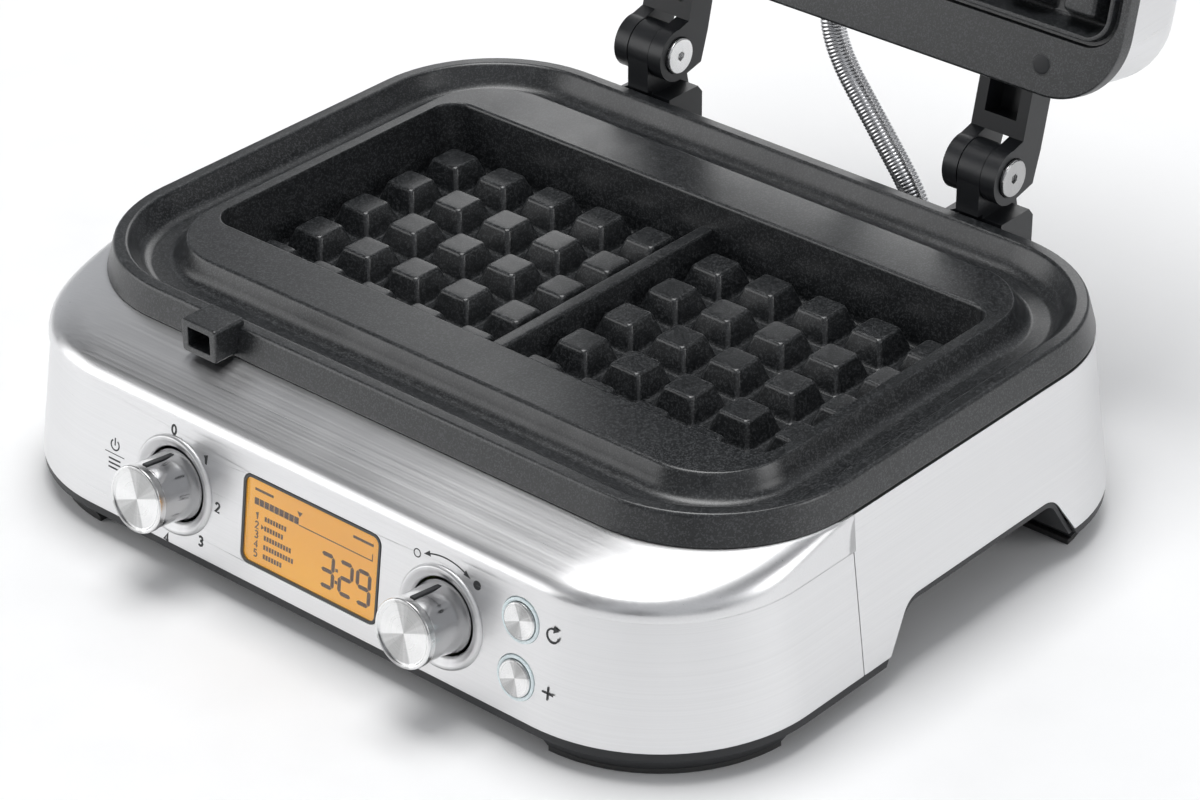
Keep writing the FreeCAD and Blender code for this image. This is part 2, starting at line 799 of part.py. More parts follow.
def board_posts():
    return [(x, y) for x in (24, 100) for y in (14, 58)]


def power_board():
    z = power_board_z()
    board = box(18, 106, 8, 64, z, z + board_thick)
    parts = [box(26, 44, 14, 30, z + 1, z + 16), rod(60, 22, z + 1, 6, 14), box(74, 98, 40, 58, z + 1, z + 13)]
    return join([board] + parts)


def power_relay():
    z = power_board_z() + board_thick
    return box(52, 72, 38, 54, z, z + 15)


def terminal_block():
    z = pan_floor_z + pan_floor
    block = box(-46, -14, 70, 84, z, z + 14)
    for x in (-40, -30, -20):
        block = block.cut(rod(x, 77, z + 8, 2.6, 10))
    return block


# ---- rear housing, brackets and gland ----
def conduit_exit():
    return conduit_points[0].x, conduit_points[0].y


def rear_housing():
    outer = outline(housing_half_x, body_back_y - 50, housing_back_y, 8, housing_bottom_z)
    block = loft([outer, outline(housing_half_x, body_back_y - 50, housing_back_y, 8, housing_top_z)])
    block = block.cut(box(-200, 200, 0, bracket_foot_y - 0.2, 0, 200))
    block = block.cut(body_block(0, body_top_z, -housing_clear))
    w = housing_wall
    chamber = box(-housing_half_x + w, housing_half_x - w, chamber_front_y, housing_back_y - w,
                  housing_bottom_z + 10, housing_top_z - w)
    block = block.cut(chamber)
    x, y = conduit_exit()
    block = block.cut(rod(x, y, housing_top_z - 10, conduit_r + 2.5, 20))
    block = block.cut(rod(gland_x, housing_back_y - 10, gland_z, gland_r + 0.1, 20, V(0, 1, 0)))
    for x, y in bracket_screw_places():
        block = block.cut(rod(x, y, housing_top_z - 10, plate_screw_r + screw_clear, 20))
    return block.cut(wire_pass())


def cord_gland():
    inner = housing_back_y - housing_wall
    profile = [(cord_hole_r, -9), (gland_r + 2, -9), (gland_r + 2, 0), (gland_r, 0), (gland_r, housing_wall),
               (gland_r + 2.5, housing_wall), (gland_r + 1.5, housing_wall + 3), (cord_hole_r, housing_wall + 3)]
    body = revolve(profile)
    body.Placement = FreeCAD.Placement(V(gland_x, inner, gland_z), FreeCAD.Rotation(V(1, 0, 0), -90))
    return body


def bracket_screw_places():
    return [(side * hinge_x + dx, bracket_screw_y) for side in (-1, 1) for dx in (-10.0, 8.6)]


def bracket_screws():
    screws = []
    top = housing_top_z - housing_wall
    for x, y in bracket_screw_places():
        screws.append(join([rod(x, y, top - 2.4, 3.8, 2.4), rod(x, y, top - 0.5, plate_screw_r, 9)]))
    return Part.makeCompound(screws)


def hinge_bracket(side):
    centre = side * hinge_x
    half = ear_width / 2
    step_z = plate_top_z + rim_lip + 0.6
    front = hinge_y - eye_r + 0.4
    foot = bracket_foot_y
    back = foot + 20.5
    points = [(front, hinge_z), (front, step_z), (foot, step_z), (foot, housing_top_z), (back, housing_top_z),
              (back, rim_bottom_z + 6), (hinge_y + eye_r - 0.4, hinge_z)]
    web = side_profile(points, centre - half, centre + half)
    eye = rod(centre - half, hinge_y, hinge_z, eye_r - 0.2, ear_width, V(1, 0, 0))
    low = step_z - housing_top_z - 1.5
    right_points = [(foot, 0), (foot, low), (back - 4.5, low), (back - 2, low - 3), (back - 2, 0)]
    right_base = side_profile([(y, housing_top_z + z) for y, z in right_points], centre + half - 1, centre + half + 8)
    left_points = [(-14, 0), (-14, low - 4), (-half - 2, low), (-half + 1, low), (-half + 1, 0)]
    corners = [V(centre + x, foot, housing_top_z + z) for x, z in left_points]
    left_base = Part.Face(Part.makePolygon(corners + [corners[0]])).extrude(V(0, back - 2 - foot, 0))
    bracket = join([web, eye, right_base, left_base])
    bracket = bracket.cut(body_block(0, body_top_z, -housing_clear))
    bracket = bracket.cut(rod(centre - half - 1, hinge_y, hinge_z, bolt_r + bolt_clear, ear_width + 2, V(1, 0, 0)))
    for x, y in bracket_screw_places():
        bracket = bracket.cut(rod(x, y, housing_top_z - 1, plate_screw_r, 9.5))
    return bracket


# ---- wiring conduit ----
def conduit():
    """Straight runs joined by tangent arcs, as large as the runs allow."""
    points = conduit_points
    edges = []
    last = points[0]
    for before, corner, after in zip(points, points[1:], points[2:]):
        a = (before - corner).normalize()
        b = (after - corner).normalize()
        turn = math.pi - a.getAngle(b)
        shorter = min(before.distanceToPoint(corner), corner.distanceToPoint(after))
        r = arc_share * shorter / math.tan(turn / 2)
        print("conduit bend radius", round(r, 1), "turn", round(math.degrees(turn), 1))
        cut = r * math.tan(turn / 2)
        start = corner + a * cut
        end = corner + b * cut
        middle_way = (a + b).normalize()
        middle = corner + middle_way * (r / math.cos(turn / 2) - r)
        if last.distanceToPoint(start) > 1e-6:
            edges.append(Part.makeLine(last, start))
        edges.append(Part.Arc(start, middle, end).toShape())
        last = end
    edges.append(Part.makeLine(last, points[-1]))
    path = Part.Wire(edges)
    circle = Part.Wire(Part.makeCircle(conduit_r, points[0], points[1] - points[0]))
    tube = path.makePipeShell([circle], True, False)
    print("conduit length", round(path.Length, 1))
    return tube


def conduit_base_ferrule():
    x, y = conduit_exit()
    bore = conduit_r + conduit_clear
    profile = [(bore, -10), (bore + 2.2, -10), (bore + 2.2, 0), (bore + 4, 0), (bore + 4, 0.8), (bore + 3, 1.6),
               (bore + 1.4, 1.6), (bore, -5)]
    return moved(revolve(profile), x, y, housing_top_z)


def conduit_lid_ferrule():
    """Seen with the lid shut: a collar in the cover's back wall, along Y."""
    centre = closed_point(conduit_points[2])
    wall_y = cover_back_y()
    bore = conduit_r + conduit_clear
    profile = [(bore, -4), (bore + 2.2, -4), (bore + 2.2, 0.2), (bore + 3.4, 0.2), (bore + 3.4, 1.5),
               (bore + 2, 3), (bore + 0.6, 3), (bore, 0)]
    body = revolve(profile)
    body.Placement = FreeCAD.Placement(V(centre.x, wall_y, centre.z), FreeCAD.Rotation(V(1, 0, 0), -90))
    return body


# ---- lid, drawn shut and then turned open about the hinge ----
def opened(shape):
    copy = shape.copy()
    copy.rotate(V(0, hinge_y, hinge_z), V(1, 0, 0), -lid_open_deg)
    return copy


def closed_point(point):
    """Where a point of the open lid lies when the lid is shut."""
    turn = FreeCAD.Rotation(V(1, 0, 0), lid_open_deg)
    pivot = V(0, hinge_y, hinge_z)
    return turn.multVec(point - pivot) + pivot


def cover_back_y():
    return platform_half_y - cover_inset


def upper_plate():
    flange = slab(platform_half_x, platform_half_y, platform_corner_r, flange_z, flange_top_z)
    mouth_x = cavity_half_x - lip_clear - lip_width
    mouth_y = cavity_half_y - lip_clear - lip_width
    mouth_r = cavity_corner_r - 1.0
    back_x = mouth_x - 2.2
    back_y = mouth_y - 2.2
    well = slab(mouth_x + 1.0, mouth_y + 1.0, mouth_r + 1.0, flange_top_z - 1, upper_back_z)
    lip = slab(mouth_x + lip_width, mouth_y + lip_width, mouth_r + lip_width, flange_z - lip_height, flange_z + 1)
    body = join([flange, well, lip])
    g = lip_width + groove_width
    groove = slab(mouth_x + g, mouth_y + g, mouth_r + g, flange_z - 1, flange_z + groove_depth)
    groove = groove.cut(slab(mouth_x + lip_width, mouth_y + lip_width, mouth_r + lip_width,
                             flange_z - 2, flange_z + 5))
    recess = loft([centred(mouth_x, mouth_y, mouth_r, flange_z - lip_height - 0.1),
                   centred(back_x, back_y, mouth_r - 1.5, upper_floor_z)])
    body = body.cut(groove).cut(recess)
    pegs = peg_grid(upper_floor_z + 0.5, flange_z)
    divider = frustum(0, 0, upper_floor_z + 0.5, flange_z + 1.5, divider_base / 2, back_y + 0.5,
                      divider_top / 2, back_y + 0.5)
    body = join([body, divider] + pegs)
    for x, y in plug_places():
        body = body.cut(rod(x, y, flange_z - 1, plug_r + 0.1, flange_thick - 1))
    return body


def plug_places():
    return [(sx * plug_x, sy * plug_y) for sx in (-1, 1) for sy in (-1, 1)]


def plate_plugs():
    profile = [(0, -0.1), (plug_r * 0.6, 0.05), (plug_r, 0.5), (plug_r, 3.5), (0, 3.5)]
    plug = revolve(profile)
    return Part.makeCompound([moved(plug, x, y, flange_z) for x, y in plug_places()])


def lid_frame():
    half_x = platform_half_x - cover_inset - sheet - 0.3
    half_y = platform_half_y - cover_inset - sheet - 0.3
    r = platform_corner_r - cover_inset - sheet
    ring = slab(half_x, half_y, r, flange_top_z, flange_top_z + frame_thick)
    ring = ring.cut(slab(cavity_half_x - 0.6, cavity_half_y - 0.6, 10, flange_top_z - 1, flange_top_z + 20))
    blocks = []
    top = hinge_z + arm_offset + arm_depth
    back = cover_back_y() + 0.3
    for side in (-1, 1):
        x = side * hinge_x
        blocks.append(box(x - arm_half, x + arm_half, back - arm_block_depth, back, flange_top_z, top))
        x = side * handle_x
        half = bracket_width / 2
        blocks.append(box(x - half, x + half, -back, -back + arm_block_depth, flange_top_z, handle_z + 2))
    frame = join([ring] + blocks)
    centre = closed_point(conduit_points[2])
    frame = frame.cut(rod(centre.x, back - 20, centre.z, conduit_r + 2.6, 40, V(0, 1, 0)))
    for x, z in arm_screw_places():
        frame = frame.cut(rod(x, back - 30, z, arm_screw_r + 0.1, 50, V(0, 1, 0)))
    return frame


def arm_screw_places():
    z = hinge_z + arm_offset + arm_depth / 2
    return [(side * hinge_x + dx, z) for side in (-1, 1) for dx in (-8.8, 8.8)]


def arm_screws():
    """Screws from inside the lid, through the frame blocks into the hinge arms, two to an arm."""
    start = cover_back_y() + 0.3 - arm_block_depth
    screws = []
    for x, z in arm_screw_places():
        head = rod(x, start - 2, z, arm_screw_r + 1.3, 2, V(0, 1, 0))
        shank = rod(x, start - 1, z, arm_screw_r, arm_block_depth + 9, V(0, 1, 0))
        screws.append(join([head, shank]))
    return Part.makeCompound(screws)


def cover_wire(z, inset):
    half_x = platform_half_x - cover_inset
    half_y = platform_half_y - cover_inset
    r = platform_corner_r - cover_inset
    return centred(half_x - inset, half_y - inset, r - inset * 0.8, z)


def cover_block(inset, bottom):
    """Pan-shaped cover whose top edge is rounded in a quarter turn."""
    base = flange_top_z + 0.2
    top = base + cover_height - inset
    straight = top - cover_edge + inset
    wires = [cover_wire(bottom, inset), cover_wire(straight, inset + 1.0)]
    for step in range(1, 8):
        a = math.radians(90 * step / 7)
        edge = cover_edge - inset
        wires.append(cover_wire(straight + edge * math.sin(a), inset + 1.0 + cover_edge * (1 - math.cos(a))))
    return loft(wires)


def lid_cover():
    base = flange_top_z + 0.2
    cover = cover_block(0, base).cut(cover_block(sheet, base - 1))
    top = hinge_z + arm_offset + arm_depth + 0.3
    back = cover_back_y()
    for side in (-1, 1):
        x = side * hinge_x
        half = arm_half + 0.3
        cover = cover.cut(box(x - half, x + half, back - 40, back + 20, base - 1, top))
        x = side * handle_x
        half = bracket_width / 2 + 0.3
        cover = cover.cut(box(x - half, x + half, -back - 20, -back + 40, base - 1, handle_z + 2.3))
    centre = closed_point(conduit_points[2])
    return cover.cut(rod(centre.x, back - 20, centre.z, conduit_r + 2.5, 40, V(0, 1, 0)))


def hinge_arm(side):
    centre = side * hinge_x
    end = hinge_y - cover_back_y() - 0.3
    top = arm_offset + arm_depth
    outline_sd = [(end, arm_offset), (12.5, arm_offset), (7.3, -6.7), (0, 0), (-9.4, 3.2), (-4, top - 1),
                  (8, top), (end, top)]
    points = [(hinge_y - s, hinge_z + d) for s, d in outline_sd]
    plate = side_profile(points, centre - arm_half, centre + arm_half)
    eye = rod(centre - arm_half, hinge_y, hinge_z, eye_r, 2 * arm_half, V(1, 0, 0))
    arm = join([plate, eye])
    slot = ear_width / 2 + fork_clear
    arm = arm.cut(box(centre - slot, centre + slot, hinge_y - 12.5, hinge_y + 30, hinge_z - 30, hinge_z + 40))
    window = arm_window / 2
    arm = arm.cut(box(centre - window, centre + window, hinge_y - 33, hinge_y - 18.5,
                      hinge_z - 5, hinge_z + arm_offset + arm_depth - 2.5))
    arm = arm.cut(rod(centre - 50, hinge_y, hinge_z, bolt_r + bolt_clear, 100, V(1, 0, 0)))
    for x, z in arm_screw_places():
        arm = arm.cut(rod(x, hinge_y - end - 10, z, arm_screw_r, 19, V(0, 1, 0)))
    return arm.cut(rod(centre + arm_half - 1, hinge_y, hinge_z, bolt_head_r + 0.3, 5, V(1, 0, 0)))


def hex_prism(x, y, z, across, length):
    points = []
    for i in range(6):
        a = math.radians(60 * i)
        points.append(V(x, y + across / math.sqrt(3) * math.cos(a), z + across / math.sqrt(3) * math.sin(a)))
    return Part.Face(Part.makePolygon(points + [points[0]])).extrude(V(length, 0, 0))


def hinge_bolts():
    bolts = []
    for side in (-1, 1):
        centre = side * hinge_x
        seat = centre + arm_half - 1
        shank = rod(centre - arm_half - 2, hinge_y, hinge_z, bolt_r, 2 * arm_half + 2, V(1, 0, 0))
        head = rod(seat, hinge_y, hinge_z, bolt_head_r, bolt_head_height, V(1, 0, 0))
        head = head.makeChamfer(0.4, [e for e in head.Edges if e.BoundBox.XMin > seat + 1])
        nut = hex_prism(centre - arm_half - 2.6, hinge_y, hinge_z, 9, 2.6)
        bolt = join([shank, head, nut])
        bolts.append(bolt.cut(hex_prism(seat + bolt_head_height - 1.6, hinge_y, hinge_z, 3.0, 3)))
    return Part.makeCompound(bolts)


def upper_element():
    return heater_loop(upper_back_z + heater_gap + heater_r, heater_half_x, heater_half_y)


def upper_reflector_z():
    return upper_back_z + 2 * heater_gap + 2 * heater_r


def upper_reflector():
    z = upper_reflector_z()
    half_x = cavity_half_x - 6
    half_y = cavity_half_y - 3
    tray = slab(half_x, half_y, 10, upper_back_z + 0.1, z + reflector_thick)
    tray = tray.cut(slab(half_x - reflector_thick, half_y - reflector_thick, 9.2, upper_back_z - 1, z))
    tray = tray.cut(box(-14, 14, half_y - 3, half_y + 3, 0, z))
    return tray.cut(rod(0, 0, z - 5, 4.2, 10))


def upper_sensor():
    z = upper_reflector_z() + reflector_thick
    return join([rod(0, 0, upper_back_z + 0.1, 4.0, z - upper_back_z + 3), rod(0, 0, z + 0.1, 6.5, 4.5)])


def handle_bracket(side):
    strap = handle_r + bracket_strap
    back = cover_back_y() + 0.3
    nose = latch_pivot_z - 3.5
    points = [(-back, nose + 7), (-back, handle_z + 2), (handle_y + 20, handle_z + 7),
              (handle_y, handle_z + strap), (handle_y - 0.62 * strap, handle_z + 0.84 * strap),
              (handle_y - strap, handle_z + 0.3 * strap), (handle_y - strap, handle_z - 0.62 * strap),
              (handle_y - 3, nose),
              (handle_y + 7, nose - 0.5), (handle_y + 11, nose + 9)]
    half = bracket_width / 2
    x = side * handle_x
    bracket = side_profile(points, x - half, x + half)
    bracket = bracket.cut(rod(x - 30, handle_y, handle_z, handle_r + 0.05, 60, V(1, 0, 0)))
    if side < 0:
        slot = latch_width / 2 + latch_side_clear
        bracket = bracket.cut(box(x - slot, x + slot, handle_y - 15, handle_y + 18, nose - 13, latch_pivot_z + 6.5))
        bracket = bracket.cut(rod(x - 30, latch_pivot_y, latch_pivot_z, latch_pin_r, 60, V(1, 0, 0)))
    return bracket


def handle_grip():
    length = 2 * handle_half_length
    grip = rod(-handle_half_length, handle_y, handle_z, handle_r, length, V(1, 0, 0))
    ends = [e for e in grip.Edges if abs(abs(e.CenterOfMass.x) - handle_half_length) < 1e-3]
    return grip.makeFillet(2.5, ends)


def latch_pin():
    half = bracket_width / 2
    return rod(-handle_x - half, latch_pivot_y, latch_pivot_z, latch_pin_r, 2 * half, V(1, 0, 0))


def storage_latch():
    """Hook that drops into the socket on the lower plate's rim; drawn engaged, then swung free."""
    y = latch_pivot_y
    z = latch_pivot_z
    hook_z = lug_z - 0.4
    points = [(y - 3.4, z), (y - 3.4, z - 14.5), (y - 1, hook_z - 0.4), (y + 10.5, hook_z), (y + 10.5, hook_z + 2.0),
              (y + 8, hook_z + 3.2), (y + 3, hook_z + 3.2), (y + 3.4, z)]
    x0 = -handle_x - latch_width / 2
    x1 = -handle_x + latch_width / 2
    lever = side_profile(points, x0, x1)
    hub = rod(x0, y, z, 4.2, latch_width, V(1, 0, 0))
    lever = join([lever, hub])
    lever = lever.cut(rod(x0 - 1, y, z, latch_pin_r + shaft_clear, latch_width + 2, V(1, 0, 0)))
    lever.rotate(V(0, y, z), V(1, 0, 0), -latch_free_deg)
    return lever


# ---- every node by name ----
nodes = {
    "base_pan": base_pan(),
    "foot_pads": foot_pads(),
    "side_grips": side_grips(),
    "front_fascia": front_fascia(),
    "deck_cover": deck_cover(),
    "rear_wrap": rear_wrap(),
    "lower_plate": lower_plate(),
    "plate_gasket": plate_gasket(),
    "plate_screws": plate_screws(),
    "lower_element": lower_element(),
    "lower_reflector": lower_reflector(),
    "lower_sensor": lower_sensor(),
    "thermal_fuse": thermal_fuse(),
    "power_board": power_board(),
    "power_relay": power_relay(),
    "terminal_block": terminal_block(),
    "rear_housing": rear_housing(),
    "cord_gland": cord_gland(),
    "hinge_bracket_left": hinge_bracket(-1),
    "hinge_bracket_right": hinge_bracket(1),
    "bracket_screws": bracket_screws(),
    "conduit_base_ferrule": conduit_base_ferrule(),
    "wiring_conduit": conduit(),
    "display_bezel": display_bezel(),
    "display_lens": display_lens(),
    "display_panel": display_panel(),
    "control_board": control_board(),
    "board_screws": board_screws(),
    "menu_dial_ring": dial_ring(-1),
    "browning_dial_ring": dial_ring(1),
    "menu_encoder": encoder(-1),
    "browning_encoder": encoder(1),
    "menu_dial": dial_body(-1),
    "menu_dial_cap": dial_cap(-1),
    "menu_dial_pointer": dial_pointer(-1),
    "browning_dial": dial_body(1),
    "browning_dial_cap": dial_cap(1),
    "browning_dial_pointer": dial_pointer(1),
    "button_rings": button_rings(),
    "button_switches": button_switches(),
    "restart_button": button(button_s[0]),
    "extra_time_button": button(button_s[1]),
    "upper_plate": opened(upper_plate()),
    "plate_plugs": opened(plate_plugs()),
    "lid_frame": opened(lid_frame()),
    "lid_cover": opened(lid_cover()),
    "hinge_arm_left": opened(hinge_arm(-1)),
    "hinge_arm_right": opened(hinge_arm(1)),
    "hinge_bolts": opened(hinge_bolts()),
    "arm_screws": opened(arm_screws()),
    "upper_element": opened(upper_element()),
    "upper_reflector": opened(upper_reflector()),
    "upper_sensor": opened(upper_sensor()),
    "conduit_lid_ferrule": opened(conduit_lid_ferrule()),
    "handle_bracket_left": opened(handle_bracket(-1)),
    "handle_bracket_right": opened(handle_bracket(1)),
    "handle_grip": opened(handle_grip()),
    "latch_pin": opened(latch_pin()),
    "storage_latch": opened(storage_latch()),
}

overall = Part.makeCompound(list(nodes.values())).BoundBox
origin_y = (overall.YMin + overall.YMax) / 2

os.makedirs("parts", exist_ok=True)
for name, shape in nodes.items():
    shape.translate(V(0, -origin_y, 0))
    shape.exportStep("parts/" + name + ".step")
print("nodes", len(nodes), "origin_y", round(origin_y, 3), "size", overall.XLength, overall.YLength, overall.ZLength)
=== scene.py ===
import json
import math
import bpy
from mathutils import Matrix, Vector

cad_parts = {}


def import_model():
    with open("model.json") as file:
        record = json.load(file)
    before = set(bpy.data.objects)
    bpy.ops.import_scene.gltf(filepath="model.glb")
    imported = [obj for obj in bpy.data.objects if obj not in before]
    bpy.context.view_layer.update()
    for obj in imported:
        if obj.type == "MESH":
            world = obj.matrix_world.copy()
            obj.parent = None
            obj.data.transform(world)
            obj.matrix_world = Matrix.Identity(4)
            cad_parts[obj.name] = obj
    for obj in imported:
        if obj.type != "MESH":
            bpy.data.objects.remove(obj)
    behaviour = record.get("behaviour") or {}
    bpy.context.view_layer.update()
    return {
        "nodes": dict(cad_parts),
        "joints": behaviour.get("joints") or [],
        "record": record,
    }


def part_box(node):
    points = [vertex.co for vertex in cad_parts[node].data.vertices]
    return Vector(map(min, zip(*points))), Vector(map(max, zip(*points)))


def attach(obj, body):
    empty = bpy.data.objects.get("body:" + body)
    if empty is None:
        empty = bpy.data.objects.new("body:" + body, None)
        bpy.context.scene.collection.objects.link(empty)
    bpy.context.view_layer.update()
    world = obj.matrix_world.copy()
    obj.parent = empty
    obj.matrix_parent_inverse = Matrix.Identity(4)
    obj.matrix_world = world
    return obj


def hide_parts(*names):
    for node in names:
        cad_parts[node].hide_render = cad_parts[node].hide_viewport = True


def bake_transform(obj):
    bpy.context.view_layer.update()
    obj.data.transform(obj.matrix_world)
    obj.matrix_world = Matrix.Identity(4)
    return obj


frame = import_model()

# ---- the CAD frame: places and sizes all come from here ----
record = frame["record"]
joints = {j["name"]: j for j in frame["joints"]}
MM = 0.001


def node_box(name):
    low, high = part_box(name)
    return low / MM, high / MM


RIM_OVER_GASKET = 1.5
RIM_HEIGHT = 10.0

gasket_low, gasket_high = node_box("plate_gasket")
centre_y = (gasket_low.y + gasket_high.y) / 2
rim_bottom_z = gasket_high.z
rim_x = gasket_high.x + RIM_OVER_GASKET
rim_y = (gasket_high.y - gasket_low.y) / 2 + RIM_OVER_GASKET
plate_z = gasket_high.z + RIM_HEIGHT
deck_low, deck_high = node_box("deck_cover")
hinge = Vector(joints["lid_hinge"]["pos_m"]) / MM
hinge.y -= centre_y
lid_open = math.radians(joints["lid_hinge"]["range_deg"][1])
panel_origin = Vector(joints["menu_dial_turn"]["pos_m"]) / MM
panel_in = Vector(joints["menu_dial_turn"]["axis"]).normalized()
dial_x = -panel_origin.x
panel_origin.x = 0.0
panel_up = Vector((0, -panel_in.z, panel_in.y))

# The plates, deck and conduit are drawn in millimetres, with y = 0 at the middle of the lower plate
# and the lid shut. These take them to metres, to the CAD's y and to the open lid.
TO_ROW = Matrix.Scale(MM, 4) @ Matrix.Translation((0, centre_y, 0))
OPEN = Matrix.Translation(hinge) @ Matrix.Rotation(-lid_open, 4, "X") @ Matrix.Translation(-hinge)
LID_TO_ROW = TO_ROW @ OPEN


def panel_matrix(x, s=0.0):
    """Metres, with X to the right, Y up the sloped front and Z out of it, at x and s millimetres."""
    spot = (panel_origin + Vector((x, 0, 0)) + panel_up * s) * MM
    axes = Matrix((Vector((1, 0, 0)), panel_up, -panel_in)).transposed().to_4x4()
    return Matrix.Translation(spot) @ axes


# ---- camera: angles in degrees, place in metres from the plate's middle, lens in millimetres ----
CAMERA_TURN, CAMERA_TILT, CAMERA_ROLL = 41.299, 30.454, -0.264
CAMERA_X, CAMERA_Y, CAMERA_Z = 0.76389, -0.866917, 0.704389
CAMERA_LENS, SENSOR_WIDTH = 117.9, 36.0
CLIP_NEAR, CLIP_FAR = 0.05, 50.0


def make_camera():
    turn, tilt, roll = (math.radians(a) for a in (CAMERA_TURN, CAMERA_TILT, CAMERA_ROLL))
    level = math.cos(tilt)
    ahead = Vector((-math.sin(turn) * level, math.cos(turn) * level, -math.sin(tilt)))
    right = Vector((math.cos(turn), math.sin(turn), 0))
    up = right.cross(ahead)
    right_rolled = right * math.cos(roll) + up * math.sin(roll)
    up_rolled = up * math.cos(roll) - right * math.sin(roll)
    data = bpy.data.cameras.new("camera")
    data.lens = CAMERA_LENS
    data.sensor_width = SENSOR_WIDTH
    data.clip_start = CLIP_NEAR
    data.clip_end = CLIP_FAR
    camera = bpy.data.objects.new("camera", data)
    axes = Matrix((right_rolled, up_rolled, -ahead)).transposed().to_4x4()
    camera.matrix_world = Matrix.Translation((CAMERA_X, centre_y * MM + CAMERA_Y, CAMERA_Z)) @ axes
    bpy.context.scene.collection.objects.link(camera)
    bpy.context.scene.camera = camera


make_camera()


# ---- materials ----
NOISE_LOW, NOISE_HIGH = 0.3, 0.7     # where most of a noise texture's values lie


def shade(colour, factor):
    return tuple(c * factor for c in colour)


class Finish:
    """A Principled material with helpers for its noise, which follows the piece's own coordinates."""

    def __init__(self, name, colour, metallic=0.0, roughness=0.5, **plain):
        self.material = bpy.data.materials.new(name)
        self.material.use_nodes = True
        self.tree = self.material.node_tree
        self.shader = self.tree.nodes["Principled BSDF"]
        self.shader.inputs["Base Color"].default_value = (*colour, 1.0)
        self.shader.inputs["Metallic"].default_value = metallic
        self.shader.inputs["Roughness"].default_value = roughness
        for key, value in plain.items():
            socket = key.replace("_", " ").title().replace("Ior", "IOR")
            self.shader.inputs[socket].default_value = value
        self.coords = self.tree.nodes.new("ShaderNodeTexCoord").outputs["Object"]

    def mapped(self, scale):
        node = self.tree.nodes.new("ShaderNodeMapping")
        node.inputs["Scale"].default_value = scale
        self.tree.links.new(self.coords, node.inputs["Vector"])
        return node.outputs["Vector"]

    def noise(self, scale, detail=4.0, roughness=0.6, vector=None):
        node = self.tree.nodes.new("ShaderNodeTexNoise")
        node.inputs["Scale"].default_value = scale
        node.inputs["Detail"].default_value = detail
        node.inputs["Roughness"].default_value = roughness
        self.tree.links.new(vector or self.coords, node.inputs["Vector"])
        return node.outputs["Fac"]

    def polar(self):
        """Distance from the piece's Z axis, and a value that runs twice to and fro round it."""
        split = self.tree.nodes.new("ShaderNodeSeparateXYZ")
        flat = self.tree.nodes.new("ShaderNodeCombineXYZ")
        length = self.tree.nodes.new("ShaderNodeVectorMath")
        length.operation = "LENGTH"
        self.tree.links.new(self.coords, split.inputs["Vector"])
        self.tree.links.new(split.outputs["X"], flat.inputs["X"])
        self.tree.links.new(split.outputs["Y"], flat.inputs["Y"])
        self.tree.links.new(flat.outputs["Vector"], length.inputs[0])
        turn = self.maths("ARCTAN2", split.outputs["Y"], split.outputs["X"])
        twice = self.maths("MULTIPLY_ADD", turn, 2.0, 2.4)
        return length.outputs["Value"], self.maths("SINE", twice)

    def maths(self, operation, *values):
        node = self.tree.nodes.new("ShaderNodeMath")
        node.operation = operation
        for socket, value in zip(node.inputs, values):
            if isinstance(value, float):
                socket.default_value = value
            else:
                self.tree.links.new(value, socket)
        return node.outputs["Value"]

    def noise_1d(self, value, scale):
        node = self.tree.nodes.new("ShaderNodeTexNoise")
        node.noise_dimensions = "1D"
        node.inputs["Scale"].default_value = scale
        node.inputs["Detail"].default_value = 3.0
        self.tree.links.new(value, node.inputs["W"])
        return node.outputs["Fac"]

    def flakes(self, scale):
        """One random value for each small cell."""
        node = self.tree.nodes.new("ShaderNodeTexVoronoi")
        node.inputs["Scale"].default_value = scale
        self.tree.links.new(self.coords, node.inputs["Vector"])
        return node.outputs["Color"]

    def cells(self, scale):
        """Distance from the middle of each small cell."""
        node = self.tree.nodes.new("ShaderNodeTexVoronoi")
        node.inputs["Scale"].default_value = scale
        self.tree.links.new(self.coords, node.inputs["Vector"])
        return node.outputs["Distance"]

    def spread(self, value, low, high, to_low, to_high):
        node = self.tree.nodes.new("ShaderNodeMapRange")
        node.inputs["From Min"].default_value = low
        node.inputs["From Max"].default_value = high
        node.inputs["To Min"].default_value = to_low
        node.inputs["To Max"].default_value = to_high
        self.tree.links.new(value, node.inputs["Value"])
        return node.outputs["Result"]

    def rough(self, value, low, high):
        spread = self.spread(value, NOISE_LOW, NOISE_HIGH, low, high)
        self.tree.links.new(spread, self.shader.inputs["Roughness"])

    def ramp(self, value, stops):
        node = self.tree.nodes.new("ShaderNodeValToRGB")
        ramp = node.color_ramp
        while len(ramp.elements) < len(stops):
            ramp.elements.new(0.5)
        for element, (position, colour) in zip(ramp.elements, stops):
            element.position = position
            element.color = (*colour, 1.0)
        self.tree.links.new(value, node.inputs["Fac"])
        return node.outputs["Color"]

    def tint(self, value, stops, socket="Base Color"):
        self.tree.links.new(self.ramp(value, stops), self.shader.inputs[socket])

    def bump(self, value, depth_mm, strength=1.0):
        node = self.tree.nodes.new("ShaderNodeBump")
        node.inputs["Distance"].default_value = depth_mm * MM
        node.inputs["Strength"].default_value = strength
        self.tree.links.new(value, node.inputs["Height"])
        normal = self.shader.inputs["Normal"]
        if normal.is_linked:
            self.tree.links.new(normal.links[0].from_socket, node.inputs["Normal"])
        self.tree.links.new(node.outputs["Normal"], normal)

    def add(self, a, b, share):
        """A mix of a and b, with the given share of b."""
        node = self.tree.nodes.new("ShaderNodeMix")
        node.data_type = "FLOAT"
        node.inputs["Factor"].default_value = share
        self.tree.links.new(a, node.inputs[2])
        self.tree.links.new(b, node.inputs[3])
        return node.outputs[0]


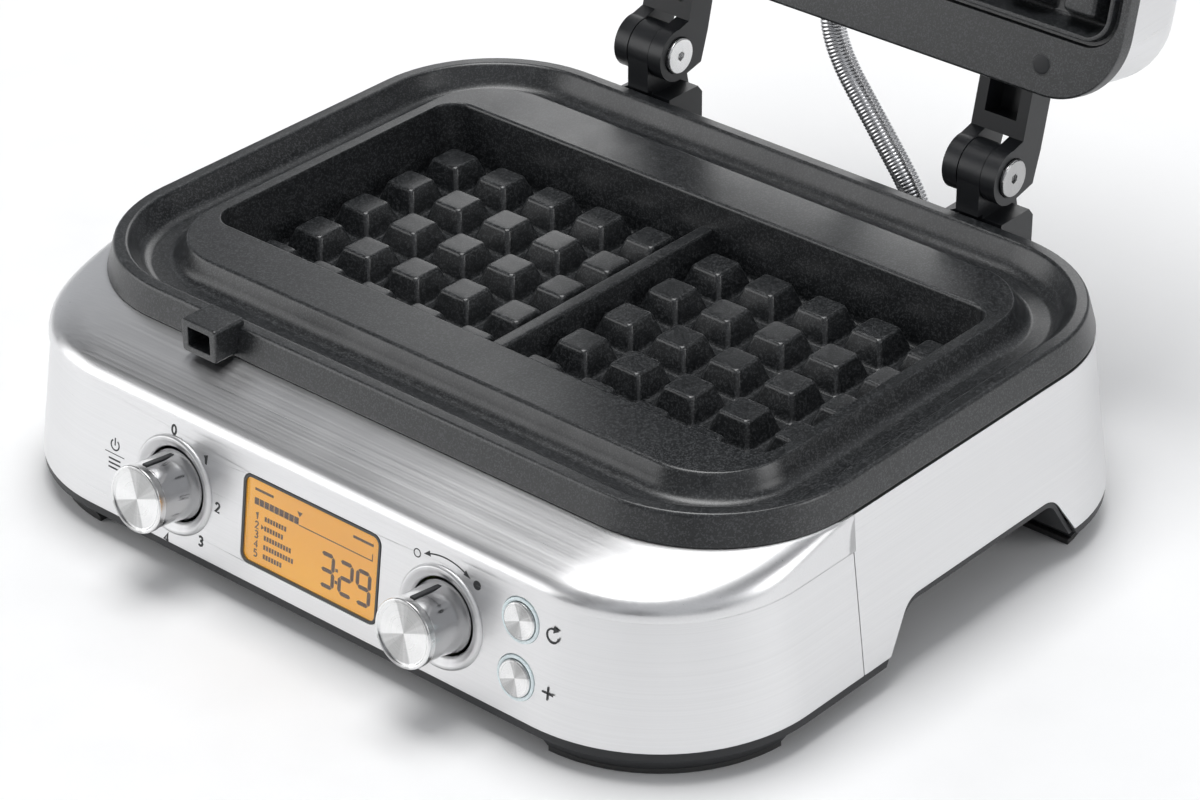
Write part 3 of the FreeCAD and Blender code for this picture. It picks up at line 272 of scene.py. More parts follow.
def brushed(name, grain):
    """Steel brushed along the axes whose numbers in grain are small."""
    light, dark, smooth = (0.79, 0.79, 0.795), (0.735, 0.735, 0.74), 0.30
    f = Finish(name, light, metallic=1.0, roughness=smooth)
    streaks = f.noise(1.0, 6.0, 0.7, f.mapped(grain))
    wide = f.noise(14.0, 3.0)
    f.rough(f.add(streaks, wide, 0.35), smooth - 0.05, smooth + 0.10)
    f.tint(streaks, [(NOISE_LOW, dark), (NOISE_HIGH, light)])
    f.bump(streaks, 0.006)
    f.bump(wide, 0.03, 0.4)
    return f.material


def coated(name, base, fleck):
    """Nonstick coating with fine paler and darker flecks."""
    f = Finish(name, base, roughness=0.32, specular_ior_level=0.8)
    fine = f.noise(900.0, 4.0, 0.8)
    flakes = f.flakes(2300.0)
    broad = f.noise(55.0, 3.0)
    f.tint(flakes, [(0.34, shade(base, 0.55)), (0.46, base), (0.60, base), (0.74, fleck)])
    f.rough(f.add(flakes, broad, 0.6), 0.28, 0.38)
    f.bump(fine, 0.025, 0.5)
    f.bump(flakes, 0.008, 0.5)
    return f.material


def moulded(name, base, smooth, grain=1500.0, depth=0.03):
    """Moulded plastic or rubber with a fine grain and slight wear."""
    f = Finish(name, base, roughness=smooth)
    fine = f.noise(grain, 3.0, 0.6)
    wear = f.noise(38.0, 5.0, 0.65)
    f.tint(f.add(fine, wear, 0.6), [(NOISE_LOW, shade(base, 0.8)), (NOISE_HIGH, shade(base, 1.25))])
    f.rough(f.add(fine, wear, 0.5), smooth - 0.07, smooth + 0.09)
    f.bump(fine, depth, 0.7)
    return f.material


def spun(name, base=(0.86, 0.86, 0.86), smooth=0.22, painted_sheen_depth=0.5):
    """Steel turned about the piece's own Z axis, with fine grooves, and a fan-shaped sheen painted into its
    colour.
    """
    f = Finish(name, base, metallic=1.0, roughness=smooth, anisotropic=0.8)
    tangent = f.tree.nodes.new("ShaderNodeTangent")
    tangent.direction_type = "RADIAL"
    tangent.axis = "Z"
    f.tree.links.new(tangent.outputs["Tangent"], f.shader.inputs["Tangent"])
    radius, angle = f.polar()
    lines = f.noise_1d(radius, 2600.0)
    # painted sheen: the colour runs darker and lighter twice round the axis, with fine painted rays, standing
    # in for the grooves' fan-shaped highlight
    painted_sheen_rays = f.noise_1d(angle, 2.2)
    painted_sheen = f.spread(angle, -1.0, 1.0, 0.0, 1.0)
    f.tint(f.add(painted_sheen, painted_sheen_rays, 0.55), [(0.30, shade(base, 1 - painted_sheen_depth)), (0.62, base)])
    f.rough(lines, smooth - 0.06, smooth + 0.08)
    f.bump(lines, 0.010)
    return f.material


def polished(name, base, smooth):
    """Plain or plated metal with slight smears."""
    f = Finish(name, base, metallic=1.0, roughness=smooth)
    wear = f.noise(180.0, 6.0, 0.7)
    fine = f.noise(2200.0, 2.0)
    f.rough(f.add(wear, fine, 0.4), smooth * 0.6, smooth * 1.9)
    f.tint(wear, [(0.35, shade(base, 0.93)), (0.65, base)])
    f.bump(fine, 0.004)
    return f.material


def amber_glass(name):
    """Back-lit display: amber, a little paler to one side."""
    f = Finish(name, (0.55, 0.26, 0.012), roughness=0.35, emission_strength=0.62)
    pixels = f.cells(2400.0)
    broad = f.noise(22.0, 2.0, 0.4)
    f.tint(broad, [(0.25, (0.46, 0.19, 0.008)), (0.75, (0.56, 0.26, 0.014))])
    f.tint(broad, [(0.25, (0.78, 0.34, 0.012)), (0.75, (0.90, 0.43, 0.022))], "Emission Color")
    f.rough(broad, 0.28, 0.42)
    f.bump(pixels, 0.01, 0.4)
    return f.material


def clear(name):
    """Clear window with faint smears."""
    f = Finish(name, (0.98, 0.98, 0.98), roughness=0.03, ior=1.45, transmission_weight=1.0)
    smear = f.noise(60.0, 4.0)
    f.rough(smear, 0.01, 0.06)
    f.bump(smear, 0.01, 0.3)
    return f.material


def ink(name, colour):
    """Printed marks, slightly uneven."""
    f = Finish(name, colour, roughness=0.5)
    grain = f.noise(3000.0, 2.0)
    f.tint(grain, [(NOISE_LOW, shade(colour, 0.8)), (NOISE_HIGH, shade(colour, 1.3))])
    f.rough(grain, 0.42, 0.58)
    f.bump(grain, 0.006)
    return f.material


def painted(name):
    """The studio's plain pale floor."""
    f = Finish(name, (0.96, 0.96, 0.96), roughness=0.6)
    grain = f.noise(30.0, 4.0)
    f.tint(grain, [(NOISE_LOW, (0.95, 0.95, 0.95)), (NOISE_HIGH, (0.97, 0.97, 0.97))])
    f.rough(grain, 0.5, 0.7)
    return f.material


# brushed_flat is for surfaces whose grain runs along x alone
FINISHES = {
    "nonstick": coated("nonstick", (0.0095, 0.011, 0.0125), (0.042, 0.0445, 0.047)),
    "brushed_steel": brushed("brushed_steel", (6.0, 6.0, 1500.0)),
    "brushed_flat": brushed("brushed_flat", (6.0, 1500.0, 1500.0)),
    # spun_steel and ring_steel carry a painted fan-shaped sheen in their colour
    "spun_steel": spun("spun_steel"),
    "ring_steel": spun("ring_steel", (0.74, 0.74, 0.745), 0.36, 0.12),
    "hose_chrome": polished("hose_chrome", (0.80, 0.80, 0.81), 0.2),
    "barrel_chrome": polished("barrel_chrome", (0.58, 0.58, 0.585), 0.12),
    "chrome": polished("chrome", (0.86, 0.86, 0.87), 0.07),
    "black_plastic": moulded("black_plastic", (0.012, 0.013, 0.015), 0.42),
    "hinge_black": moulded("hinge_black", (0.011, 0.012, 0.014), 0.34, 1100.0, 0.02),
    "rubber": moulded("rubber", (0.030, 0.030, 0.030), 0.68, 900.0, 0.05),
    "steel": polished("steel", (0.62, 0.62, 0.63), 0.24),
    "halo": moulded("halo", (0.80, 0.90, 0.92), 0.22, 1500.0, 0.01),
    "lens": clear("lens"),
    "lcd": amber_glass("lcd"),
    "board": moulded("board", (0.02, 0.17, 0.07), 0.35, 500.0, 0.05),
    "aluminium": polished("aluminium", (0.72, 0.72, 0.73), 0.36),
    "white_plastic": moulded("white_plastic", (0.78, 0.77, 0.73), 0.38),
    "ink": ink("panel_ink", (0.022, 0.023, 0.025)),
    "frame_grey": moulded("frame_grey", (0.055, 0.057, 0.06), 0.34),
    "lcd_ink": ink("lcd_ink", (0.10, 0.030, 0.006)),
    "floor": painted("floor"),
}


# ---- mesh helpers ----
def new_object(name, points, faces, finish, matrix=None, sharp=None):
    mesh = bpy.data.meshes.new(name)
    mesh.from_pydata([tuple(p) for p in points], [], faces)
    mesh.validate()
    mesh.polygons.foreach_set("use_smooth", [True] * len(mesh.polygons))
    if sharp is not None:
        mesh.set_sharp_from_angle(angle=math.radians(sharp))
    mesh.materials.append(FINISHES[finish])
    piece = bpy.data.objects.new(name, mesh)
    bpy.context.scene.collection.objects.link(piece)
    if matrix is not None:
        piece.matrix_world = matrix
    return piece


def place(piece, body, slot, *nodes):
    """Rides the piece on its body, and lets it stand for the CAD nodes given."""
    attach(piece, body)
    if nodes:
        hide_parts(*nodes)
    return piece


def weigh(piece):
    """Keeps flat faces flat beside rounded edges."""
    mod = piece.modifiers.new("flats", "WEIGHTED_NORMAL")
    mod.weight = 50
    mod.keep_sharp = True
    return piece


def rounded(points, steps):
    """Rounds a line's corners; each point's last number is how far its corner is cut back."""
    size = len(points[0]) - 1
    vectors = [Vector(p[:size]) for p in points]
    result = []
    for i, (here, p) in enumerate(zip(vectors, points)):
        cut = p[size]
        if cut <= 0 or i in (0, len(points) - 1):
            result.append(tuple(here))
            continue
        before, after = vectors[i - 1] - here, vectors[i + 1] - here
        a = here + before * min(cut / math.sqrt(before.dot(before)), 0.49)
        b = here + after * min(cut / math.sqrt(after.dot(after)), 0.49)
        for k in range(steps + 1):
            t = k / steps
            result.append(tuple(a * (1 - t) ** 2 + here * 2 * t * (1 - t) + b * t ** 2))
    return result


def corner_ring(half_x, half_y, r, z, n):
    """Points of a rectangle with round corners, anticlockwise."""
    points = []
    r = min(r, half_x * 0.999, half_y * 0.999)
    for cx, cy, start in ((half_x - r, half_y - r, 0), (-half_x + r, half_y - r, 90),
                          (-half_x + r, -half_y + r, 180), (half_x - r, -half_y + r, 270)):
        for k in range(n + 1):
            a = math.radians(start + 90 * k / n)
            points.append(Vector((cx + r * math.cos(a), cy + r * math.sin(a), z)))
    return points


class Build:
    """Collects rings of points into one mesh."""

    def __init__(self):
        self.points = []
        self.faces = []

    def rings(self, rings, close=True, cap_start=False, cap_end=False, loop=False):
        base = len(self.points)
        n = len(rings[0])
        for ring in rings:
            self.points.extend(ring)
        rows = len(rings)
        last = rows if loop else rows - 1
        for i in range(last):
            a, b = base + i * n, base + ((i + 1) % rows) * n
            for k in range(n if close else n - 1):
                m = (k + 1) % n
                self.faces.append((a + k, a + m, b + m, b + k))
        if cap_start:
            self.faces.append(tuple(base + k for k in reversed(range(n))))
        if cap_end:
            self.faces.append(tuple(base + (rows - 1) * n + k for k in range(n)))
        return self

    def tray(self, profile, n, spot=None, **caps):
        """A profile of (half x, half y, corner radius, z) levels as a body of rounded rectangles."""
        rings = [corner_ring(*level, n) for level in profile]
        if spot is not None:
            rings = [[spot @ p for p in ring] for ring in rings]
        return self.rings(rings, **caps)

    def lathe(self, profile, n, spot=None, **caps):
        """A profile of (radius, z) points turned about Z."""
        rings = []
        for r, z in profile:
            ring = []
            for k in range(n):
                a = 2 * math.pi * k / n
                ring.append(Vector((r * math.cos(a), r * math.sin(a), z)))
            rings.append([spot @ p for p in ring] if spot is not None else ring)
        return self.rings(rings, **caps)

    def moved(self, matrix):
        self.points = [matrix @ p for p in self.points]
        return self

    def made(self, name, finish, matrix=None, sharp=38):
        return new_object(name, self.points, self.faces, finish, matrix, sharp)


# ---- lower cooking plate ----
RIM_LIP = 0.5                            # the rim's top stands this far over the platform
RIM_LEAN = 2.5                           # the rim's side leans in this far
RIM_TOP_WIDTH = 4.8
MOAT_DEPTH, MOAT_SLOPE = 8.0, 5.0
MOAT_X, MOAT_Y = 24.2, 25.3              # from the rim's top edge to the platform
PLATFORM_X, PLATFORM_Y = 4.3, 22.5       # from the platform's edge to the waffle well
WELL_DEPTH, WELL_WALL, WELL_FLOOR, WELL_DRAFT = 22.6, 3.5, 4.0, 3.0
RIM_CORNER, PLATFORM_CORNER, WELL_CORNER = 52.0, 27.0, 9.0
PEG_PITCH, PEG_COLUMNS, WAFFLE_GAP = 23.0, 5, 30.0
PEG_HEIGHT, PEG_BASE, PEG_TIP = 9.0, 9.2, 6.0      # base and tip are half widths
RIB_HEIGHT = 12.5
LATCH_X = -66.0

rim_top = plate_z + RIM_LIP
top_x, top_y = rim_x - RIM_LEAN, rim_y - RIM_LEAN
plat_x, plat_y = top_x - MOAT_X, top_y - MOAT_Y
cav_x, cav_y = plat_x - PLATFORM_X, plat_y - PLATFORM_Y
cav_floor = plate_z - WELL_DEPTH


def pegs(build, root, tip):
    """Two grids of tapered pegs with soft roots and edges."""
    way = 1 if tip > root else -1
    reach, crown = PEG_BASE + 2.0, PEG_TIP - 3.4
    profile = rounded([(reach, reach, 2.6, root - 0.08 * way, 0), (PEG_BASE, PEG_BASE, 1.9, root, 1.5),
                       (PEG_TIP, PEG_TIP, 1.6, tip, 1.3), (crown, crown, 0.5, tip + 0.02 * way, 0)], 4)
    for column in range(PEG_COLUMNS):
        for row in range(PEG_COLUMNS):
            for side in (-1, 1):
                x = side * (WAFFLE_GAP / 2 + column * PEG_PITCH)
                y = (row - 2) * PEG_PITCH
                build.tray(profile, 4, Matrix.Translation((x, y, 0)), cap_end=True)


def rib(build, start, root, top, half_lengths, edge):
    """The rib between the two waffles, with its half lengths at the root, the top's edge and the crown."""
    foot, shoulder, crown = half_lengths
    levels = [(8.0, foot, 1.0, start, 0), (4.9, foot, 1.0, root, 1.5),
              (2.5, shoulder, 1.0, top, edge), (0.4, crown, 0.2, top, 0)]
    build.tray(rounded(levels, 4), 4, cap_end=True)


def lower_plate():
    b = Build()
    moat_z = plate_z - MOAT_DEPTH
    under_z = cav_floor - WELL_FLOOR

    def level(x, y, inset, r, z, cut):
        return x - inset, y - inset, r - inset, z, cut

    profile = rounded([
        level(cav_x, cav_y, -0.5, WELL_CORNER, under_z, 0),
        level(cav_x, cav_y, -WELL_WALL, WELL_CORNER, under_z, 1.0),
        level(cav_x, cav_y, -WELL_WALL, WELL_CORNER, rim_bottom_z, 0.5),
        (rim_x, rim_y, RIM_CORNER + 1.5, rim_bottom_z, 0.9),
        level(top_x, top_y, 0, RIM_CORNER, rim_top, 1.5),
        level(top_x, top_y, RIM_TOP_WIDTH, RIM_CORNER, rim_top, 1.6),
        level(top_x, top_y, RIM_TOP_WIDTH + MOAT_SLOPE, RIM_CORNER, moat_z, 5.0),
        level(plat_x, plat_y, -4.0, PLATFORM_CORNER, moat_z, 5.0),
        level(plat_x, plat_y, 0, PLATFORM_CORNER, plate_z, 1.5),
        level(cav_x, cav_y, 0, WELL_CORNER, plate_z, 1.4),
        level(cav_x, cav_y, WELL_DRAFT, WELL_CORNER, cav_floor, 2.4),
        (cav_x - 9.0, cav_y - 9.0, 3.0, cav_floor, 0)], 5)
    b.tray(profile, 20, cap_start=True, cap_end=True)
    pegs(b, cav_floor, cav_floor + PEG_HEIGHT)
    rib(b, cav_floor - 0.05, cav_floor, cav_floor + RIB_HEIGHT, (cav_y - 1.0, cav_y - 0.5, cav_y - 2.5), 1.1)
    # the latch's socket block on the front rim
    lug = Matrix.Translation((LATCH_X, -(top_y + 1.75) + 1.5, plate_z - 3.0))
    lug = lug @ Matrix.Rotation(math.radians(90), 4, "X")
    socket = rounded([(8.0, 6.0, 1.2, -2.0, 0), (8.0, 6.0, 1.2, 10.9, 0.9), (5.0, 3.5, 0.6, 10.9, 0.4),
                      (5.0, 3.5, 0.6, 2.4, 0)], 3)
    b.tray(socket, 4, lug, cap_start=True, cap_end=True)
    piece = b.moved(TO_ROW).made("lower_plate_casting", "nonstick")
    return place(weigh(piece), "base", "nonstick", "lower_plate")


lower_plate()


# ---- upper cooking plate, drawn shut ----
PLATE_GAP = 0.4                          # between the two plates when shut
FLANGE_THICK, RIDGE_DROP = 6.0, 1.8      # the ridge round the mouth stands below the flange
GROOVE_DEPTH = 1.5
MOUTH_INSET = 2.2                        # from the lower well's edge to the upper plate's mouth
PLUG_X, PLUG_Y = 97.0, 72.5
flange_z = plate_z + PLATE_GAP


def upper_plate():
    b = Build()
    mouth_x, mouth_y = cav_x - MOUTH_INSET, cav_y - MOUTH_INSET
    floor = flange_z + PEG_HEIGHT
    back_z, under_z = floor + WELL_FLOOR, flange_z + FLANGE_THICK
    groove_z, ridge_z = flange_z + GROOVE_DEPTH, flange_z - RIDGE_DROP

    def mouth(out, r, z, cut):
        return mouth_x + out, mouth_y + out, r, z, cut

    profile = rounded([
        mouth(-1.5, 8.0, back_z, 0), mouth(1.0, 9.0, back_z, 1.0), mouth(1.0, 9.0, under_z, 0.5),
        (plat_x, plat_y, PLATFORM_CORNER, under_z, 0.8), (plat_x, plat_y, PLATFORM_CORNER, flange_z, 1.3),
        mouth(3.7, 11.7, flange_z, 0.5), mouth(3.4, 11.4, groove_z, 0.5), mouth(1.8, 9.8, groove_z, 0.4),
        mouth(1.5, 9.5, ridge_z, 0.6), mouth(0.0, 8.0, ridge_z, 0.6),
        mouth(-2.2, 6.5, floor, 2.0), mouth(-8.0, 3.0, floor, 0)], 4)
    b.tray(profile, 20, cap_start=True, cap_end=True)
    pegs(b, floor, flange_z)
    rib(b, floor + 0.05, floor, groove_z, (mouth_y - 3.0, mouth_y - 2.0, mouth_y - 3.5), 1.0)
    piece = b.moved(LID_TO_ROW).made("upper_plate_casting", "nonstick")
    place(weigh(piece), "lid", "nonstick", "upper_plate")
    plugs = Build()
    dome = rounded([(3.9, 0.12, 0), (3.6, -0.05, 0.05), (3.3, 0.10, 0.05), (3.2, -0.16, 0.15),
                    (1.6, -0.24, 0.6), (0.2, -0.26, 0)], 3)
    for sx in (-1, 1):
        for sy in (-1, 1):
            spot = Matrix.Translation((sx * PLUG_X, sy * PLUG_Y, flange_z))
            plugs.lathe(dome, 32, spot, cap_end=True)
    plugs.moved(LID_TO_ROW)
    place(plugs.made("plate_plug_domes", "black_plastic"), "lid", "black_plastic", "plate_plugs")


upper_plate()


# ---- steel deck in front of the plate ----
def smooth_value(table, t):
    """A smooth line through (t, value) pairs."""
    last = len(table) - 2
    i = next((k for k in range(last) if t <= table[k + 1][0]), last)
    (t0, v0), (t1, v1) = table[i], table[i + 1]
    before, after = table[max(i - 1, 0)], table[min(i + 2, last + 1)]
    m0 = (v1 - before[1]) / (t1 - before[0])
    m1 = (after[1] - v0) / (after[0] - t0)
    d = t1 - t0
    u = (t - t0) / d
    return ((2 * u ** 3 - 3 * u ** 2 + 1) * v0 + (u ** 3 - 2 * u ** 2 + u) * d * m0
            + (3 * u ** 2 - 2 * u ** 3) * v1 + (u ** 3 - u ** 2) * d * m1)


# how far the deck reaches out at each share of its height, from the seam at 0 to the rim at 1
DECK_CURVE = [(0.0, 1.0), (0.22, 0.975), (0.4, 0.9), (0.55, 0.77), (0.7, 0.58), (0.85, 0.32), (1.0, 0.0)]
DECK_ROWS, CORNER_STEPS = 32, 32
DECK_CORNER = 54.0
SEAM_RISE = 3.2
SHEET_THICK = 0.9


def deck_cover():
    seam = deck_low.z + SEAM_RISE
    top = deck_high.z
    back = deck_high.y - centre_y
    reach_low = -(deck_low.y - centre_y)
    half_low = deck_high.x
    b = Build()
    rings = []

    def ring(half_x, reach, r, z):
        points = [Vector((half_x, back + (-reach + r - back) * k / 6, z)) for k in range(6)]
        for k in range(CORNER_STEPS + 1):
            a = math.radians(-90 * k / CORNER_STEPS)
            points.append(Vector((half_x - r + r * math.cos(a), -reach + r + r * math.sin(a), z)))
        left = [Vector((-p.x, p.y, p.z)) for p in reversed(points)]
        middle = [Vector((x, -reach, z)) for x in ((half_x - r) * 0.5, 0, -(half_x - r) * 0.5)]
        return points + middle + left

    rings.append(ring(half_low - 1.2, reach_low - 1.2, 52.8, seam + 0.5))
    rings.append(ring(half_low - 0.35, reach_low - 0.35, 53.7, seam))
    for i in range(DECK_ROWS + 1):
        u = i / DECK_ROWS
        out = max(0.0, smooth_value(DECK_CURVE, u))
        z = seam + 0.3 + (top - seam - 0.3) * u
        half_x = half_low + u * (rim_x - half_low)
        rings.append(ring(half_x, rim_y + out * (reach_low - rim_y), DECK_CORNER - 0.5 * u, z))
    rings.append(ring(rim_x - 1.0, rim_y - 1.0, 52.5, top))
    rings.append(ring(rim_x - 4.5, rim_y - 4.5, 49.0, top))
    b.rings(rings, close=False)
    piece = b.moved(TO_ROW).made("deck_skin", "brushed_flat", None, 60)
    shell = piece.modifiers.new("sheet", "SOLIDIFY")
    shell.thickness = SHEET_THICK * MM
    shell.offset = -1
    place(piece, "base", "brushed_steel", "deck_cover")


deck_cover()


# ---- dials, buttons and their rings, each drawn about its own axis ----
PANEL_SHARP = 40


def in_metres(profile):
    return [(r * MM, z * MM) for r, z in rounded(profile, 4)]


def panel_piece(name, profile, finish, x, s, body, slot, node, n=96):
    b = Build().lathe(in_metres(profile), n, cap_end=True)
    place(weigh(b.made(name, finish, panel_matrix(x, s), PANEL_SHARP)), body, slot, node)


# profiles are (radius, height out of the panel, corner cut); the mark is (half x, half y, radius, z, cut)
DIAL_BARREL = [(12.3, -3.3, 0), (12.3, -0.4, 0.3), (11.75, 1.2, 0.6), (11.2, 5.5, 2.0), (11.2, 14.5, 0.2),
               (9.0, 14.6, 0)]
DIAL_FACE = [(9.0, 14.6, 0), (11.45, 14.6, 0.2), (11.6, 14.9, 0.2), (11.6, 17.2, 0.35), (11.2, 17.6, 0.25),
             (10.6, 17.6, 0.3), (9.9, 17.0, 0.5), (5.0, 16.85, 1.0), (0.05, 16.8, 0)]
DIAL_SURROUND = [(12.9, -3.9, 0), (14.4, -3.9, 0), (14.4, 0.02, 0), (17.5, 0.02, 0.0), (17.45, 0.5, 0.3),
                 (16.7, 1.45, 0.45), (15.8, 1.5, 0.5), (14.6, 0.75, 1.0), (13.6, 0.25, 0.3),
                 (12.95, -0.6, 0.3), (12.9, -3.8, 0)]
DIAL_MARK = [(1.0, 6.3, 0.3, 0.0, 0), (1.0, 6.3, 0.3, 1.3, 0.35), (0.6, 5.9, 0.2, 1.32, 0)]
MARK_PLACE = (0, 10.4, 7.85)

for title, body, side in (("menu", "menu_knob", -1), ("browning", "browning_knob", 1)):
    x = side * dial_x
    dial = title + "_dial"
    panel_piece(dial + "_barrel", DIAL_BARREL, "barrel_chrome", x, 0, body, "chrome", dial)
    panel_piece(dial + "_face", DIAL_FACE, "spun_steel", x, 0, body, "spun_steel", dial + "_cap")
    b = Build().lathe(in_metres(DIAL_SURROUND), 128)
    piece = b.made(dial + "_surround", "ring_steel", panel_matrix(x), PANEL_SHARP)
    place(weigh(piece), "base", "chrome", dial + "_ring")
    stand = Matrix.Translation(MARK_PLACE) @ Matrix.Rotation(math.radians(-90), 4, "X")
    b = Build().tray(rounded(DIAL_MARK, 3), 4, stand, cap_start=True, cap_end=True)
    piece = b.moved(Matrix.Scale(MM, 4)).made(dial + "_mark", "black_plastic", panel_matrix(x), PANEL_SHARP)
    place(weigh(piece), body, "black_plastic", dial + "_pointer")


def on_panel_centre(node):
    low, high = node_box(node)
    middle = (low + high) / 2
    return middle.x, (middle - panel_origin).dot(panel_up)


BUTTON_FACE = [(2.0, -7.3, 0), (2.0, -4.6, 0), (7.0, -4.6, 0.1), (7.0, -3.8, 0.1), (6.2, -3.8, 0.0),
               (6.2, 0.75, 0.3), (5.8, 1.1, 0.2), (5.2, 1.02, 0.3), (3.0, 0.72, 1.0), (0.05, 0.6, 0)]
BUTTON_HALO = [(6.35, -2.5, 0), (8.25, -2.5, 0), (8.25, -1.25, 0), (7.5, -1.25, 0), (7.5, 0.25, 0.15),
               (7.1, 0.5, 0.2), (6.6, 0.42, 0.15), (6.35, 0.2, 0.1), (6.35, -2.4, 0)]
BUTTON_SIDES = 72

halos = Build()
for title, body in (("restart_button", "restart_key"), ("extra_time_button", "extra_time_key")):
    x, s = on_panel_centre(title)
    panel_piece(title + "_face", BUTTON_FACE, "spun_steel", x, s, body, "spun_steel", title, n=BUTTON_SIDES)
    halos.lathe(rounded(BUTTON_HALO, 3), BUTTON_SIDES, Matrix.Translation((x, s, 0)))
halos.moved(Matrix.Scale(MM, 4))
place(weigh(halos.made("button_halo", "halo", panel_matrix(0), PANEL_SHARP)), "base", "halo", "button_rings")


# ---- flat marks: printed signs on the panel and segments in the display ----
SIGNS = {
    "0": [[(0.3 + 0.28 * math.cos(math.radians(a)), 0.5 + 0.48 * math.sin(math.radians(a)))
           for a in range(0, 361, 20)]],
    "1": [[(0.08, 0.78), (0.34, 1.0), (0.34, 0.0)]],
    "2": [[(0.04, 0.76), (0.14, 0.95), (0.32, 1.0), (0.5, 0.93), (0.56, 0.75), (0.5, 0.58), (0.04, 0.02),
           (0.6, 0.02)]],
    "3": [[(0.05, 0.9), (0.28, 1.0), (0.5, 0.92), (0.54, 0.74), (0.42, 0.56), (0.24, 0.53)],
          [(0.24, 0.53), (0.46, 0.48), (0.58, 0.28), (0.48, 0.07), (0.26, 0.0), (0.03, 0.1)]],
    "4": [[(0.44, 0.0), (0.44, 1.0), (0.02, 0.28), (0.62, 0.28)]],
    "5": [[(0.52, 0.98), (0.12, 0.98), (0.08, 0.56), (0.32, 0.62), (0.54, 0.48), (0.56, 0.24), (0.42, 0.05),
           (0.2, 0.0), (0.03, 0.1)]],
}


class Marks:
    """Thin flat shapes with a little thickness, in millimetres in the panel's plane."""

    def __init__(self, height, thick=0.03):
        self.build = Build()
        self.height = height
        self.thick = thick

    def patch(self, outline):
        base = len(self.build.points)
        n = len(outline)
        for lift in (0, self.thick):
            self.build.points.extend(Vector((x, y, self.height + lift)) for x, y in outline)
        faces = self.build.faces
        faces.append(tuple(base + n + k for k in range(n)))
        faces.append(tuple(base + k for k in reversed(range(n))))
        for k in range(n):
            m = (k + 1) % n
            faces.append((base + k, base + m, base + n + m, base + n + k))

    def stroke(self, points, width):
        vectors = [Vector(p) for p in points]
        left, right = [], []
        for i, p in enumerate(vectors):
            a = (vectors[min(i + 1, len(vectors) - 1)] - vectors[max(i - 1, 0)]).normalized()
            side = Vector((-a.y, a.x)) * width / 2
            if 0 < i < len(vectors) - 1:
                turn = (p - vectors[i - 1]).normalized().dot(a)
                side /= max(turn, 0.5)
            left.append(p + side)
            right.append(p - side)
        self.patch([tuple(p) for p in reversed(right)] + [tuple(p) for p in left])

    def arc(self, x, y, r, start, end, width, n=24):
        points = []
        for k in range(n + 1):
            a = math.radians(start + (end - start) * k / n)
            points.append((x + r * math.cos(a), y + r * math.sin(a)))
        self.stroke(points, width)

    def bar(self, x0, x1, y0, y1):
        self.patch([(x0, y0), (x1, y0), (x1, y1), (x0, y1)])

    def sign(self, x, y, size, text, width):
        """A number drawn as strokes on a cell of 0.6 by 1."""
        for line in SIGNS[text]:
            self.stroke([(x + (px - 0.3) * size, y + (py - 0.5) * size) for px, py in line], width)

    def made(self, name, finish, slot):
        self.build.moved(Matrix.Scale(MM, 4))
        return place(self.build.made(name, finish, panel_matrix(0), 30), "base", slot)


def panel_marks():
    m = Marks(0.01)
    for k, text in enumerate("01234"):
        a, r = math.radians(94 - 48 * k), 19.4 + 0.3 * k
        m.sign(-dial_x + r * math.cos(a), r * math.sin(a), 3.3, text, 0.8)
    # a plain switch sign over a plain menu sign, left of the first dial
    x = -dial_x - 28.6
    m.arc(x, 3.6, 1.9, 125, 415, 0.55)
    m.stroke([(x, 3.4), (x, 6.2)], 0.55)
    m.stroke([(x - 4.6, 0.2), (x + 4.6, 0.2)], 0.3)
    for k in range(3):
        m.stroke([(x - 2.8, -1.8 - 1.6 * k), (x + 2.8, -1.8 - 1.6 * k)], 0.62)
    # lighter to darker arrow over the second dial
    m.arc(dial_x, 0, 20.4, 108, 66, 0.5)
    for a, turn in ((110, 1), (64, -1)):
        b = math.radians(a)
        tip = Vector((dial_x + 20.4 * math.cos(b), 20.4 * math.sin(b)))
        along = Vector((-math.sin(b), math.cos(b))) * turn
        across = Vector((math.cos(b), math.sin(b)))
        m.patch([tuple(tip + along * 2.0), tuple(tip - along * 0.8 + across * 1.0),
                 tuple(tip - along * 0.8 - across * 1.0)][::turn])
    m.arc(dial_x - 11.6, 17.6, 1.35, 0, 355, 0.4)
    for r in (0.35, 0.85, 1.3):
        m.arc(dial_x + 13.6, 16.4, r, 0, 355, 0.52)
    # an arrow round for starting again and a plus for more time
    x, s = on_panel_centre("restart_button")
    x += 13.0
    m.arc(x, s, 2.3, 75, 360, 0.6)
    m.patch([(x + 0.2, s + 3.6), (x + 0.2, s + 1.0), (x + 2.5, s + 2.4)])
    x, s = on_panel_centre("extra_time_button")
    x += 13.0
    m.stroke([(x - 2.3, s), (x + 2.3, s)], 0.62)
    m.stroke([(x, s - 2.3), (x, s + 2.3)], 0.62)
    m.made("panel_print", "ink", "black_plastic")


panel_marks()


DISPLAY_SHAPE = 30.0 / 59.0              # its height over its width
DISPLAY_SHARP = 35
SEGMENTS = {"2": "abged", "3": "abgcd", "9": "abcdfg"}


